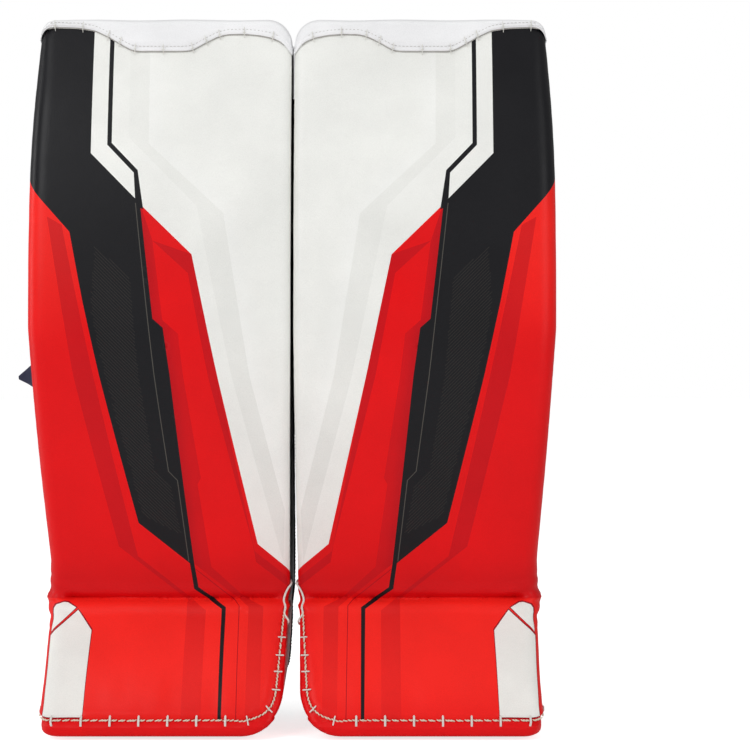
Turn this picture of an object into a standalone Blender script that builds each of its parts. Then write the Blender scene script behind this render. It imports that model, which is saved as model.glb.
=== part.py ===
"""A pair of ice hockey goalie leg pads, standing side by side on their toes.

Each pad is a moulded foam core in the shape of a channel that the lower leg lies in, skinned in
printed leathercloth, with a boot that hinges at the boot break, a knee block, two calf wings and
the straps that close them. The pads are mirror images: both are built from the same meshes.

Frame: metres, +Z up, the faces look along -Y and +X is to the viewer's right. The origin is on the
floor, midway between the pads and midway from the toes to the rearmost strap.
"""

import math
from collections import namedtuple

import bmesh
import bpy
from mathutils import Vector

# ---- Driving dimensions, metres ------------------------------------------------------------------
PAD_WIDTH = 0.279  # eleven inches, the widest a leg pad may be
PAD_HEIGHT = 0.765
PAD_SPACING = 0.003  # between the two inner edges
KNEE_Z = 0.430  # height where the face stands furthest forward
CREASE_Z = 0.142  # the boot break
THIGH_SETBACK = 0.049  # how far the top of the face leans back from the knee
CREASE_SETBACK = 0.062  # how far the boot break lies behind the knee
SHIN_CURVE = 1.6  # exponent of the curve from knee to boot break
WALL_BACK = 0.077  # back of the side walls, thigh and knee
WALL_BACK_MOST = 0.179  # back of the side walls at the ankle
WALL_FLARE_Z = 0.410  # the walls deepen below this height
WALL_DEEPEST_Z = 0.178
TOE_REACH = 0.021  # the toe stands this far in front of the knee
STRAP_REACH = 0.278  # back of the calf strap, behind the knee
OUTER_TAPER = 0.019  # the outer edge draws in this much by the boot break
INNER_TAPER = 0.003
TOP_TAPER = 0.008
TOP_TAPER_FROM, TOP_TAPER_TO = 0.560, 0.738
OUTER_RADIUS, INNER_RADIUS = 0.018, 0.009  # front corners of the section
TOP_OUTER_RADIUS, TOP_INNER_RADIUS = 0.016, 0.028  # top corners seen from the front

SKIN = 0.0022
BOARD = 0.003
GAP = 0.0005  # between neighbouring pieces
CORNER_GAP = 0.0020  # where two pieces round the same corner in facets of different size
MID_THICKNESS = 0.045  # foam between the face and the leg channel
WALL_OUT, WALL_IN = 0.036, 0.030  # side walls of the leg channel
CHANNEL_FILLET = 0.012
BINDING = 0.011  # visible width of the edge binding

CAP_TOP = 0.007
CAP_FRONT = 0.0025
CAP_BACK_DROP = 0.083  # how far the cap's padded flap hangs down behind
CAP_BACK_PROUD = 0.0045

LEFT, RIGHT = -1, 1
Y_CENTRE = (STRAP_REACH - TOE_REACH) / 2
OUTER_X = -PAD_WIDTH / 2
INNER_X = PAD_WIDTH / 2

RED = (0.80, 0.010, 0.012, 1)
BLACK = (0.016, 0.016, 0.018, 1)
WHITE = (0.86, 0.87, 0.84, 1)
GREY = (0.055, 0.045, 0.043, 1)
FOAM = (0.55, 0.56, 0.58, 1)
CORD = (0.88, 0.85, 0.72, 1)

# A section of the pad: where it meets the face, the way it runs back, its side limits and depth.
Station = namedtuple("Station", "y z dy dz outer inner depth")


def lerp(a, b, t):
    return a + (b - a) * t


def clamp01(t):
    return max(0.0, min(1.0, t))


# ---- Shape of the pad ----------------------------------------------------------------------------
def front_y(z):
    """Distance of the face behind the knee, at height z."""
    if z > KNEE_Z:
        return THIGH_SETBACK * ((z - KNEE_Z) / (PAD_HEIGHT - KNEE_Z)) ** 2
    return CREASE_SETBACK * ((KNEE_Z - z) / (KNEE_Z - CREASE_Z)) ** SHIN_CURVE


def wall_back_y(z):
    """Back of the side walls, which wrap further round the leg below the knee."""
    flare = (WALL_BACK_MOST - WALL_BACK) / (WALL_FLARE_Z - WALL_DEEPEST_Z)
    return min(WALL_BACK + flare * max(0.0, WALL_FLARE_Z - z), WALL_BACK_MOST)


def corner_inset(z, radius, top):
    """How far a rounded top corner has drawn in at height z, for an outline that ends at top."""
    rise = z - (top - radius)
    if rise <= 0:
        return 0.0
    return radius - math.sqrt(max(radius**2 - min(rise, radius) ** 2, 0.0))


def taper(z):
    return clamp01((KNEE_Z - z) / (KNEE_Z - CREASE_Z))


def outer_edge(z):
    lean = TOP_TAPER * clamp01((z - TOP_TAPER_FROM) / (TOP_TAPER_TO - TOP_TAPER_FROM)) ** 2
    return OUTER_X + OUTER_TAPER * taper(z) + lean


def inner_edge(z):
    return INNER_X - INNER_TAPER * taper(z)


def shin_station(z, back=None):
    top = PAD_HEIGHT - CAP_TOP - GAP
    return Station(
        y=front_y(z),
        z=z,
        dy=1.0,
        dz=0.0,
        outer=outer_edge(z) + corner_inset(z, TOP_OUTER_RADIUS, top),
        inner=inner_edge(z) - corner_inset(z, TOP_INNER_RADIUS, top),
        depth=(wall_back_y(z) if back is None else back) - front_y(z),
    )


# The boot is a fan of sections from the boot break (t = 0) to the sole (t = 1).
BOOT_FRONT_TOP, BOOT_FRONT_SOLE = Vector((0.060, 0.136)), Vector((-0.0195, 0.0135))
BOOT_BACK = [Vector((0.179, 0.122)), Vector((0.190, 0.078)), Vector((0.120, 0.046))]
BOOT_CROWN = 0.006
BOOT_OUTER = OUTER_X + OUTER_TAPER
BOOT_INNER = INNER_X - 0.0055
TOE_ROUND_WIDE, TOE_ROUND_TALL = 0.062, 0.075  # the inner toe corner is a quarter ellipse
SOLE_THICK = 0.014


def toe_inset(height):
    """How far the rounded inner toe corner has drawn in at this height above the sole."""
    rise = clamp01(1 - height / TOE_ROUND_TALL)
    return TOE_ROUND_WIDE * (1 - math.sqrt(1 - rise**2))


def boot_station(t):
    along = BOOT_FRONT_SOLE - BOOT_FRONT_TOP
    outward = Vector((along.y, -along.x)).normalized()
    front = BOOT_FRONT_TOP + along * t + outward * BOOT_CROWN * 4 * t * (1 - t)
    a, b, c = BOOT_BACK
    back = a * (1 - t) ** 2 + b * 2 * t * (1 - t) + c * t**2
    run = back - front
    along_run = run.normalized()
    height = front.y - BOOT_FRONT_SOLE.y + SOLE_THICK
    return Station(
        y=front.x,
        z=front.y,
        dy=along_run.x,
        dz=along_run.y,
        outer=BOOT_OUTER,
        inner=BOOT_INNER - toe_inset(height),
        depth=run.length,
    )


def sole_station(drop):
    """A section below the boot, `drop` metres under the sole seam, for the rim that closes it."""
    seam = boot_station(1.0)
    share = drop / SOLE_THICK
    shrink = 0.010 * share**2
    return seam._replace(
        y=seam.y + seam.dz * drop + shrink * 0.9,
        z=seam.z - seam.dy * drop,
        outer=seam.outer + shrink * 0.4,
        inner=BOOT_INNER - toe_inset(SOLE_THICK * (1 - share)),
        depth=seam.depth - shrink * 1.2,
    )


def at(station, x, depth):
    return Vector((x, station.y + depth * station.dy, station.z + depth * station.dz))


# ---- Section outlines: lists of (x, depth) pairs -------------------------------------------------
ARC_STEPS = 3


def wrap(station, inset, front_inset, from_depth, to_depth):
    """Round the section from the outer side to the inner side, `inset` inside the pad's surface."""
    limit = 0.4 * station.depth
    r_out = max(min(OUTER_RADIUS, limit) - inset, 0.0015)
    r_in = max(min(INNER_RADIUS, limit) - inset, 0.0015)
    left, right = station.outer + inset, station.inner - inset
    points = [(left, from_depth)]
    for i in range(ARC_STEPS + 1):
        a = math.pi / 2 * i / ARC_STEPS
        points.append((left + r_out * (1 - math.cos(a)), front_inset + r_out * (1 - math.sin(a))))
    for i in range(ARC_STEPS + 1):
        a = math.pi / 2 * i / ARC_STEPS
        points.append((right - r_in * (1 - math.sin(a)), front_inset + r_in * (1 - math.cos(a))))
    points.append((right, to_depth))
    return points


def channel(station, grow, wall_depth):
    """The leg channel's outline, from the outer wall to the inner wall, `grow` off the foam."""
    left = station.outer + WALL_OUT + grow
    right = station.inner - WALL_IN - grow
    mid = min(MID_THICKNESS, wall_depth - 0.012) + grow
    f = min(CHANNEL_FILLET, (wall_depth - mid) * 0.7)
    return [
        (left, wall_depth + grow),
        (left, mid + f),
        (left + f, mid),
        (right - f, mid),
        (right, mid + f),
        (right, wall_depth + grow),
    ]


# ---- Mesh helpers --------------------------------------------------------------------------------
def material(name, colour, roughness, metallic=0.0):
    made = bpy.data.materials.get(name)
    if made is None:
        made = bpy.data.materials.new(name)
        made.use_nodes = True
        shader = made.node_tree.nodes["Principled BSDF"]
        shader.inputs["Base Color"].default_value = colour
        shader.inputs["Roughness"].default_value = roughness
        shader.inputs["Metallic"].default_value = metallic
    return made


def loft(rings):
    """A closed body through rings of equally many points, capped at both ends."""
    bm = bmesh.new()
    loops = [[bm.verts.new(p) for p in ring] for ring in rings]
    for low, high in zip(loops, loops[1:]):
        for i in range(len(low)):
            j = (i + 1) % len(low)
            bm.faces.new((low[i], low[j], high[j], high[i]))
    bm.faces.new(loops[0][::-1])
    bm.faces.new(loops[-1])
    bmesh.ops.recalc_face_normals(bm, faces=bm.faces)
    return bm


def shell(stations, outline, thickness_inset):
    """A skin between an outline and the same outline further in, along the stations."""
    rings = []
    for s in stations:
        outside = [at(s, x, d) for x, d in outline(s, 0.0)]
        inside = [at(s, x, d) for x, d in outline(s, thickness_inset)]
        rings.append(outside + inside[::-1])
    return loft(rings)


def ribbon(path, widths, thickness, across):
    """A strap along a path: `across` is the way its width runs, and widths its width at each point."""
    rings = []
    for i, p in enumerate(path):
        along = (path[min(i + 1, len(path) - 1)] - path[max(i - 1, 0)]).normalized()
        side = across.normalized() * widths[i] / 2
        face = along.cross(side).normalized() * thickness / 2
        rings.append([p - side - face, p + side - face, p + side + face, p - side + face])
    return loft(rings)


def cord(path, radius, sides=6):
    """A round lace along a path."""
    rings = []
    for i, p in enumerate(path):
        along = (path[min(i + 1, len(path) - 1)] - path[max(i - 1, 0)]).normalized()
        u = along.cross(Vector((0.31, 0.87, 0.38))).normalized()
        v = along.cross(u)
        ring = []
        for k in range(sides):
            a = 2 * math.pi * k / sides
            ring.append(p + u * radius * math.cos(a) + v * radius * math.sin(a))
        rings.append(ring)
    return loft(rings)


def rounded_box(low, high, bevel, segments=2):
    bm = bmesh.new()
    bmesh.ops.create_cube(bm, size=1.0)
    size = Vector(high) - Vector(low)
    centre = (Vector(high) + Vector(low)) / 2
    for v in bm.verts:
        v.co = Vector([c * s for c, s in zip(v.co, size)]) + centre
    bmesh.ops.bevel(
        bm, geom=bm.edges[:], offset=bevel, segments=segments, profile=0.5, affect="EDGES"
    )
    return bm


# ---- Pivots, in the pad's own frame: x from the pad's centreline, y behind the knee face ----------
def wing_axis(outer):
    """Where a calf wing is sewn to its wall: a point, and the way the seam runs up."""
    ends = []
    for z in (WALL_DEEPEST_Z, WALL_FLARE_Z):
        x = outer_edge(z) + 0.002 if outer else inner_edge(z) - 0.002
        ends.append(Vector((x, wall_back_y(z) + 0.002, z)))
    low, high = ends
    return low, (high - low).normalized()


BOOT_PIVOT = Vector((0.0, 0.066, 0.140))
KNEE_BLOCK_LOW = Vector((INNER_X - 0.050, WALL_BACK + 0.0012, 0.416))
KNEE_BLOCK_HIGH = Vector((INNER_X - 0.001, 0.208, 0.541))
KNEE_STRAP_PIVOT = Vector((INNER_X - 0.030, 0.2165, 0.446))
KNEE_TAB_PIVOT = Vector((OUTER_X + 0.0085, 0.160, 0.468))
CALF_STRAP_PIVOT = Vector((INNER_X - 0.064, 0.2660, 0.250))
CALF_TAB_PIVOT = Vector((OUTER_X + 0.086, 0.2755, 0.250))
BOOT_STRAP_PIVOT = Vector((BOOT_INNER - 0.018, 0.177, 0.073))
TOE_TIE_PIVOT = Vector((0.0, 0.041, 0.0335))

PIVOTS = {
    "shin": (Vector((0, 0, 0)), None),
    "boot": (BOOT_PIVOT, "shin"),
    "knee_strap": (KNEE_STRAP_PIVOT, "shin"),
    "knee_tab": (KNEE_TAB_PIVOT, "knee_strap"),
    "outer_wing": (wing_axis(True)[0], "shin"),
    "inner_wing": (wing_axis(False)[0], "shin"),
    "calf_strap": (CALF_STRAP_PIVOT, "inner_wing"),
    "calf_tab": (CALF_TAB_PIVOT, "calf_strap"),
    "boot_strap": (BOOT_STRAP_PIVOT, "boot"),
    "toe_tie": (TOE_TIE_PIVOT, "boot"),
}

# ---- Heights of the sections that each group of pieces is lofted through --------------------------
CAP_BACK_Z = PAD_HEIGHT - CAP_BACK_DROP
LOWER_SHIN = [CREASE_Z, WALL_DEEPEST_Z, 0.225, 0.275, 0.325, 0.370, WALL_FLARE_Z, 0.470, 0.560]
CAP_STEP = 0.0005  # the foam steps in this far below the cap's padded flap
TOP_Z = PAD_HEIGHT - CAP_TOP - 0.0008


def shin_stations():
    return [shin_station(z) for z in LOWER_SHIN + [0.630, CAP_BACK_Z - 0.0015]]


def full_shin_stations():
    """The shin's sections with those beside the cap, whose padded flap takes up the back."""
    beside_cap = [CAP_BACK_Z - CAP_STEP, 0.728, 0.742, 0.751, TOP_Z]
    return shin_stations() + [shin_station(z) for z in beside_cap]


def boot_stations():
    return [boot_station(t) for t in (0.0, 0.2, 0.4, 0.6, 0.76, 0.9, 1.0 - 0.003)]


# ---- Pieces of the shin --------------------------------------------------------------------------
def side_end(s):
    """Depth where a side skin stops and the binding starts."""
    return s.depth - BINDING - GAP


def face_skin(stations):
    def outline(s, inset):
        return wrap(s, inset, inset, side_end(s), min(0.013, side_end(s) - 0.004))

    return shell(stations, outline, SKIN)


def inner_side_skin(stations):
    rings = []
    for s in stations:
        start = min(0.013, side_end(s) - 0.004) + GAP
        outside = [at(s, s.inner, start), at(s, s.inner, side_end(s))]
        inside = [at(s, s.inner - SKIN, side_end(s)), at(s, s.inner - SKIN, start)]
        rings.append(outside + inside)
    return loft(rings)


def stiffener(stations):
    """The board under the face's skin, which spreads the force of a shot."""
    rings = []
    for s in stations:
        inset = SKIN + GAP
        edge = 0.022
        left, right = s.outer + edge, s.inner - edge
        rings.append(
            [
                at(s, left, inset),
                at(s, right, inset),
                at(s, right, inset + BOARD),
                at(s, left, inset + BOARD),
            ]
        )
    return loft(rings)


def foam_core(stations, back_of):
    """The channel-shaped foam: the pad's outline in front, the leg channel behind."""
    rings = []
    for s in stations:
        depth = back_of(s)
        front = wrap(s, SKIN + GAP, SKIN + BOARD + 2 * GAP, depth, depth)
        rings.append([at(s, x, d) for x, d in front + channel(s, 0.0, depth)[::-1]])
    return loft(rings)


def shin_core_depth(s):
    if s.z > CAP_BACK_Z - 2 * CAP_STEP:
        return s.depth - BINDING
    return s.depth - SKIN - GAP


def back_liner(stations):
    """Lines the leg channel and the backs of its walls, between the two bindings."""
    rings = []
    for s in stations:
        depth = s.depth - SKIN - GAP
        edge = 0.0145
        near = [(s.outer + edge, depth + GAP)] + channel(s, GAP, depth)
        near += [(s.inner - edge, depth + GAP)]
        far = [(s.outer + edge, depth + GAP + SKIN)] + channel(s, GAP + SKIN, depth)
        far += [(s.inner - edge, depth + GAP + SKIN)]
        rings.append([at(s, x, d) for x, d in near + far[::-1]])
    return loft(rings)


def edge_binding(stations, outer):
    """The folded tape over a wall's back edge: one leg on the side, one on the back."""
    rings = []
    width = 0.014
    for s in stations:
        start, back = s.depth - BINDING, s.depth
        path = [(0, start), (0, back - 0.003), (0.003, back), (width, back)]
        path += [(width, back - SKIN), (SKIN, back - SKIN), (SKIN, start)]
        place = [(s.outer + x if outer else s.inner - x, d) for x, d in path]
        rings.append([at(s, x, d) for x, d in place])
    return loft(rings)


def cap_flap_z(x):
    """Lower edge of the cap's front flap: shallow at the sides with a deeper tongue in the middle."""
    tongue_left, tongue_right = OUTER_X + 0.113, OUTER_X + 0.176
    if x < tongue_left:
        drop = lerp(0.008, 0.0335, clamp01((x - OUTER_X - 0.050) / 0.063) ** 1.3)
    elif x < tongue_right:
        drop = 0.0335
    else:
        rise = clamp01((x - tongue_right) / 0.042)
        drop = lerp(0.0335, 0.0165, rise * (2 - rise))
    return PAD_HEIGHT - CAP_TOP - drop


def plan_round(x, z):
    """How far the face has curved back at x, where the section's front corners are rounded."""
    limit = 0.4 * (WALL_BACK - front_y(z))
    curve = 0.0
    for edge, radius in ((x - outer_edge(z), OUTER_RADIUS), (inner_edge(z) - x, INNER_RADIUS)):
        r = min(radius, limit)
        curve = max(curve, r - math.sqrt(r**2 - max(r - max(edge, 0.0), 0.0) ** 2))
    return curve


def top_drop(x):
    """How far the rounded top corners fall below the pad's full height at x."""
    drop = 0.0
    ends = (
        (x - outer_edge(PAD_HEIGHT), TOP_OUTER_RADIUS),
        (inner_edge(PAD_HEIGHT) - x, TOP_INNER_RADIUS),
    )
    for edge, r in ends:
        drop = max(drop, r - math.sqrt(r**2 - max(r - edge, 0.0) ** 2))
    return drop


def cap_stations():
    left, right = outer_edge(PAD_HEIGHT), inner_edge(PAD_HEIGHT)
    tongue = [OUTER_X + d for d in (0.050, 0.080, 0.113, 0.176, 0.195, 0.218)]
    outer_corner = [left + TOP_OUTER_RADIUS * f for f in (0.0, 0.12, 0.45, 1.0)]
    inner_corner = [right - TOP_INNER_RADIUS * f for f in (1.0, 0.45, 0.12, 0.0)]
    return outer_corner + tongue + inner_corner


def cap_section(x):
    """The cap across the pad's top at x: front flap, rolled top and padded back flap."""
    top = PAD_HEIGHT - top_drop(x)
    under = top - CAP_TOP + (CORNER_GAP if top_drop(x) > 0 else 0)
    back = WALL_BACK + CAP_BACK_PROUD
    inside_back = WALL_BACK - BINDING + GAP
    flap = min(cap_flap_z(x), under - 0.006)
    front = []
    inside = []
    for z in (flap, lerp(flap, under, 0.5), under):
        curve = plan_round(x, z)
        y = front_y(z) + curve - (CORNER_GAP if curve > 0 else GAP)
        front.append((y - CAP_FRONT, z))
        inside.append((y, z))
    face = inside[-1][0]
    crown = [(face, top - 0.002), (lerp(face, back, 0.4), top)]
    rear = [(back - 0.006, top - 0.002), (back, top - 0.012), (back, CAP_BACK_Z)]
    under_side = [(inside_back, CAP_BACK_Z), (inside_back, under)]
    profile = front + crown + rear + under_side + inside[::-1]
    return [Vector((x, y, z)) for y, z in profile]


def top_cap():
    return loft([cap_section(x) for x in cap_stations()])


def top_lacing():
    """The white lace run along the flap's edge."""
    path = []
    for x in cap_stations()[3:-3]:
        z = cap_flap_z(x) + 0.0025
        y = front_y(z) + plan_round(x, z) - GAP - CAP_FRONT - 0.0020
        path.append(Vector((x, y, z)))
    return cord(path, 0.0009)


def knee_cushion():
    """The soft pad in the leg channel that the knee rests on."""
    bm = rounded_box((-0.066, 0.0, 0.405), (0.072, 0.024, 0.545), 0.007)
    for v in bm.verts:
        v.co.y += front_y(v.co.z) + MID_THICKNESS + SKIN + 4 * GAP
    return bm


def knee_block_cover():
    """The knee block's shell, open towards the pad where it is fastened."""
    low, high = KNEE_BLOCK_LOW, KNEE_BLOCK_HIGH
    wall = 0.003
    sections = []
    for y, draw in ((low.y, 0.0), (high.y - 0.016, 0.0), (high.y - 0.005, 0.004), (high.y, 0.012)):
        sections.append(rounded_rectangle(low, high, y, draw))
    inner = []
    for y, draw in ((high.y - wall - 0.0005, 0.012), (high.y - 0.017, wall), (low.y, wall)):
        inner.append(rounded_rectangle(low, high, y, draw))
    return closed_cup(sections, inner)


def rounded_rectangle(low, high, y, draw, radius=0.012, steps=3):
    """Points round a box's section at depth y, drawn in by `draw`, with rounded corners."""
    x0, x1 = low.x + draw, high.x - draw
    z0, z1 = low.z + draw, high.z - draw
    r = max(radius - draw, 0.003)
    corners = ((x1 - r, z1 - r, 0), (x0 + r, z1 - r, 1), (x0 + r, z0 + r, 2), (x1 - r, z0 + r, 3))
    points = []
    for cx, cz, quarter in corners:
        for i in range(steps + 1):
            a = math.pi / 2 * (quarter + i / steps)
            points.append(Vector((cx + r * math.cos(a), y, cz + r * math.sin(a))))
    return points


def closed_cup(outside, inside):
    """A cup: rings up the outside, over the closed end, and back down the inside."""
    bm = bmesh.new()
    loops = [[bm.verts.new(p) for p in ring] for ring in outside]
    loops_in = [[bm.verts.new(p) for p in ring] for ring in inside]

    def join(a, b):
        for i in range(len(a)):
            j = (i + 1) % len(a)
            bm.faces.new((a[i], a[j], b[j], b[i]))

    for a, b in zip(loops, loops[1:]):
        join(a, b)
    bm.faces.new(loops[-1])
    bm.faces.new(loops_in[0])
    for a, b in zip(loops_in, loops_in[1:]):
        join(a, b)
    join(loops_in[-1], loops[0])
    bmesh.ops.recalc_face_normals(bm, faces=bm.faces)
    return bm


def knee_block_core():
    low, high = KNEE_BLOCK_LOW, KNEE_BLOCK_HIGH
    inset = 0.0036
    rings = []
    for y, draw in ((low.y + 0.001, inset), (high.y - 0.018, inset), (high.y - 0.0042, 0.0128)):
        rings.append(rounded_rectangle(low, high, y, draw))
    return loft(rings)


def knee_block_end_pad():
    """The black landing pad on the knee block's far end."""
    low, high = KNEE_BLOCK_LOW, KNEE_BLOCK_HIGH
    centre_z = (low.z + high.z) / 2 + 0.012
    return rounded_box(
        (low.x + 0.0135, high.y + GAP, centre_z - 0.001),
        (high.x - 0.0135, high.y + 0.007, high.z - 0.014),
        0.002,
        1,
    )


def knee_strap_anchor():
    """The red webbing sewn behind the outer wall, which the knee strap hooks to."""
    x = OUTER_X + 0.0150
    path = [
        Vector((x, WALL_BACK + 0.0008, 0.470)),
        Vector((x, 0.100, 0.470)),
        Vector((x, 0.122, 0.466)),
    ]
    return ribbon(path, [0.072, 0.066, 0.030], 0.0024, Vector((0, 0, 1)))


def knee_strap():
    """From the knee block's end, round behind the knee, to the hook on the outer side."""
    start, end = KNEE_STRAP_PIVOT, Vector((OUTER_X + 0.0115, 0.093, 0.480))
    path = []
    steps = 12
    for i in range(steps + 1):
        a = math.pi * i / steps
        across = (1 - math.cos(a)) / 2
        x = lerp(start.x - 0.001, end.x, clamp01(1.12 * across) ** 0.8)
        y = lerp(start.y, end.y, across**3.2) + 0.022 * math.sin(a) ** 0.8
        z = lerp(start.z, end.z, across**1.5) - 0.012 * math.sin(a)
        path.append(Vector((x, y, z)))
    return ribbon(path, [0.036] + [0.042] * steps, 0.0026, Vector((0, 0.10, 1)))


def knee_strap_tab():
    """The stitched pull tab laid over the strap's free end."""
    x = OUTER_X + 0.0078
    path = [Vector((x, 0.092, 0.483)), Vector((x, 0.125, 0.476)), Vector((x, 0.160, 0.468))]
    return ribbon(path, [0.047] * 3, 0.003, Vector((0, 0.10, 1)))


# ---- Calf wings and their strap ------------------------------------------------------------------
def wing_edge(q, narrow, bulge):
    """How far back a wing's free edge stands at share q of its height."""
    return narrow + bulge * math.sqrt(max(math.sin(math.pi * q), 0.0))


def calf_wing(outer):
    """A padded wing sewn to the back of a wall, curling round the calf."""
    z_low, z_high = (0.110, 0.378) if outer else (0.106, 0.376)
    narrow, bulge = (0.204, 0.045) if outer else (0.210, 0.050)
    curl = 0.046 if outer else 0.050
    thick = 0.013
    steps = 6
    rings = []
    for k in range(9):
        q = k / 8
        z = lerp(z_low, z_high, q)
        start = wall_back_y(z) + (0.0035 if z > 0.150 else 0.009)
        end = wing_edge(0.04 + 0.92 * q, narrow, bulge)
        wall = outer_edge(max(z, CREASE_Z)) if outer else -inner_edge(max(z, CREASE_Z))
        outside, inside = [], []
        for i in range(steps + 1):
            p = i / steps
            x = wall + 0.003 + curl * p**1.8
            y = lerp(start, end, p)
            taper_thick = thick * (1 - 0.35 * p)
            slope = curl * 1.8 * p**0.8 / max(end - start, 0.02)
            normal = Vector((1, -slope, 0)).normalized()
            outside.append(Vector((x, y, z)))
            inside.append(Vector((x, y, z)) + normal * taper_thick)
        ring = outside + inside[::-1]
        inside[0].y = start
        rings.append([Vector((v.x if outer else -v.x, v.y, v.z)) for v in ring])
    return loft(rings)


def calf_wedge():
    """The foam wedge between knee block and inner wing that fills in beside the calf."""
    return rounded_box(
        (INNER_X - 0.058, WALL_BACK + 0.0155, 0.386), (INNER_X - 0.008, 0.194, 0.4125), 0.008
    )


def calf_strap():
    start, end = CALF_STRAP_PIVOT, Vector((OUTER_X + 0.040, 0.2635, 0.252))
    path = []
    for i in range(9):
        t = i / 8
        p = start.lerp(end, t)
        p.y += (STRAP_REACH - 0.0018 - 0.0035 - start.y) * math.sin(math.pi * t) ** 0.7
        path.append(p)
    return ribbon(path, [0.036] * 9, 0.0026, Vector((0, 0, 1)))


def calf_strap_tab():
    path = [
        CALF_TAB_PIVOT.copy(),
        Vector((OUTER_X + 0.062, 0.2738, 0.251)),
        Vector((OUTER_X + 0.040, 0.2700, 0.252)),
    ]
    return ribbon(path, [0.030] * 3, 0.0022, Vector((0, 0, 1)))


# ---- Pieces of the boot --------------------------------------------------------------------------
def boot_core_depth(s):
    return s.depth - SKIN - GAP


def boot_skin(stations):
    """The boot's skin, which unlike the shin's is one piece round the front and both sides."""

    def outline(s, inset):
        return wrap(s, inset, inset, side_end(s), side_end(s))

    return shell(stations, outline, SKIN)


def ankle_gusset():
    """The stitched panel on the outer side where the boot flexes, over the boot's skin."""
    rings = []
    proud = 0.0006
    for t in (0.01, 0.25, 0.5, 0.75, 0.93):
        s = boot_station(t)
        front = lerp(0.030, s.depth - BINDING - 0.018, t)
        back = s.depth - BINDING - 0.001
        x = s.outer - GAP
        rings.append(
            [
                at(s, x, front),
                at(s, x, back),
                at(s, x - SKIN * 0.6 - proud, back),
                at(s, x - SKIN * 0.6 - proud, front),
            ]
        )
    return loft(rings)


def toe_binding():
    """The rim that closes the boot at the sole, a roll round the toe and both side walls."""
    rings = []
    for drop in (0.0006, 0.005, 0.010, SOLE_THICK):
        s = sole_station(drop)
        inset = -0.0012 if drop < 0.008 else 0.0
        front = wrap(s, inset, inset, s.depth - 0.002, s.depth - 0.002)
        rings.append([at(s, x, d) for x, d in front + channel(s, 0.0, s.depth - 0.002)[::-1]])
    return loft(rings)


def toe_lacing():
    """The white lace along the sole seam: down the outer side, across the toe, up the inner edge."""
    off = 0.0034
    path = []
    sole = boot_station(0.985)
    for depth in (0.118, 0.085, 0.050, 0.022):
        path.append(at(sole, sole.outer - off, depth))
    for i in range(1, 3):
        a = math.pi / 2 * i / 3
        x = sole.outer - off + (OUTER_RADIUS + off) * (1 - math.cos(a))
        path.append(at(sole, x, -off + (OUTER_RADIUS + off) * (1 - math.sin(a))))
    for x in (sole.outer + 0.020, -0.040, 0.020, 0.070):
        path.append(at(sole, x, -off))
    for t in (0.975, 0.93, 0.86, 0.76, 0.6, 0.4, 0.2, 0.04):
        s = boot_station(t)
        path.append(at(s, s.inner - 0.003, -off * 0.8))
    return cord(path, 0.0010)


def toe_tie():
    """The elastic that ties the toe to the skate, hanging inside the toe."""
    p = TOE_TIE_PIVOT
    path = [p + Vector((0, 0, 0)), p + Vector((0, 0.012, -0.004)), p + Vector((0, 0.030, -0.006))]
    path.append(p + Vector((0, 0.048, -0.003)))
    return ribbon(path, [0.030] * 4, 0.0030, Vector((1, 0, 0)))


def boot_strap():
    """The webbing that closes the boot behind the ankle."""
    start = BOOT_STRAP_PIVOT
    end = Vector((BOOT_OUTER + 0.016, 0.177, 0.073))
    path = []
    for i in range(9):
        t = i / 8
        p = start.lerp(end, t)
        p.y += 0.003 + 0.015 * math.sin(math.pi * t) ** 0.6
        path.append(p)
    return ribbon(path, [0.028] * 9, 0.0026, Vector((0, -0.35, 1)))


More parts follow.
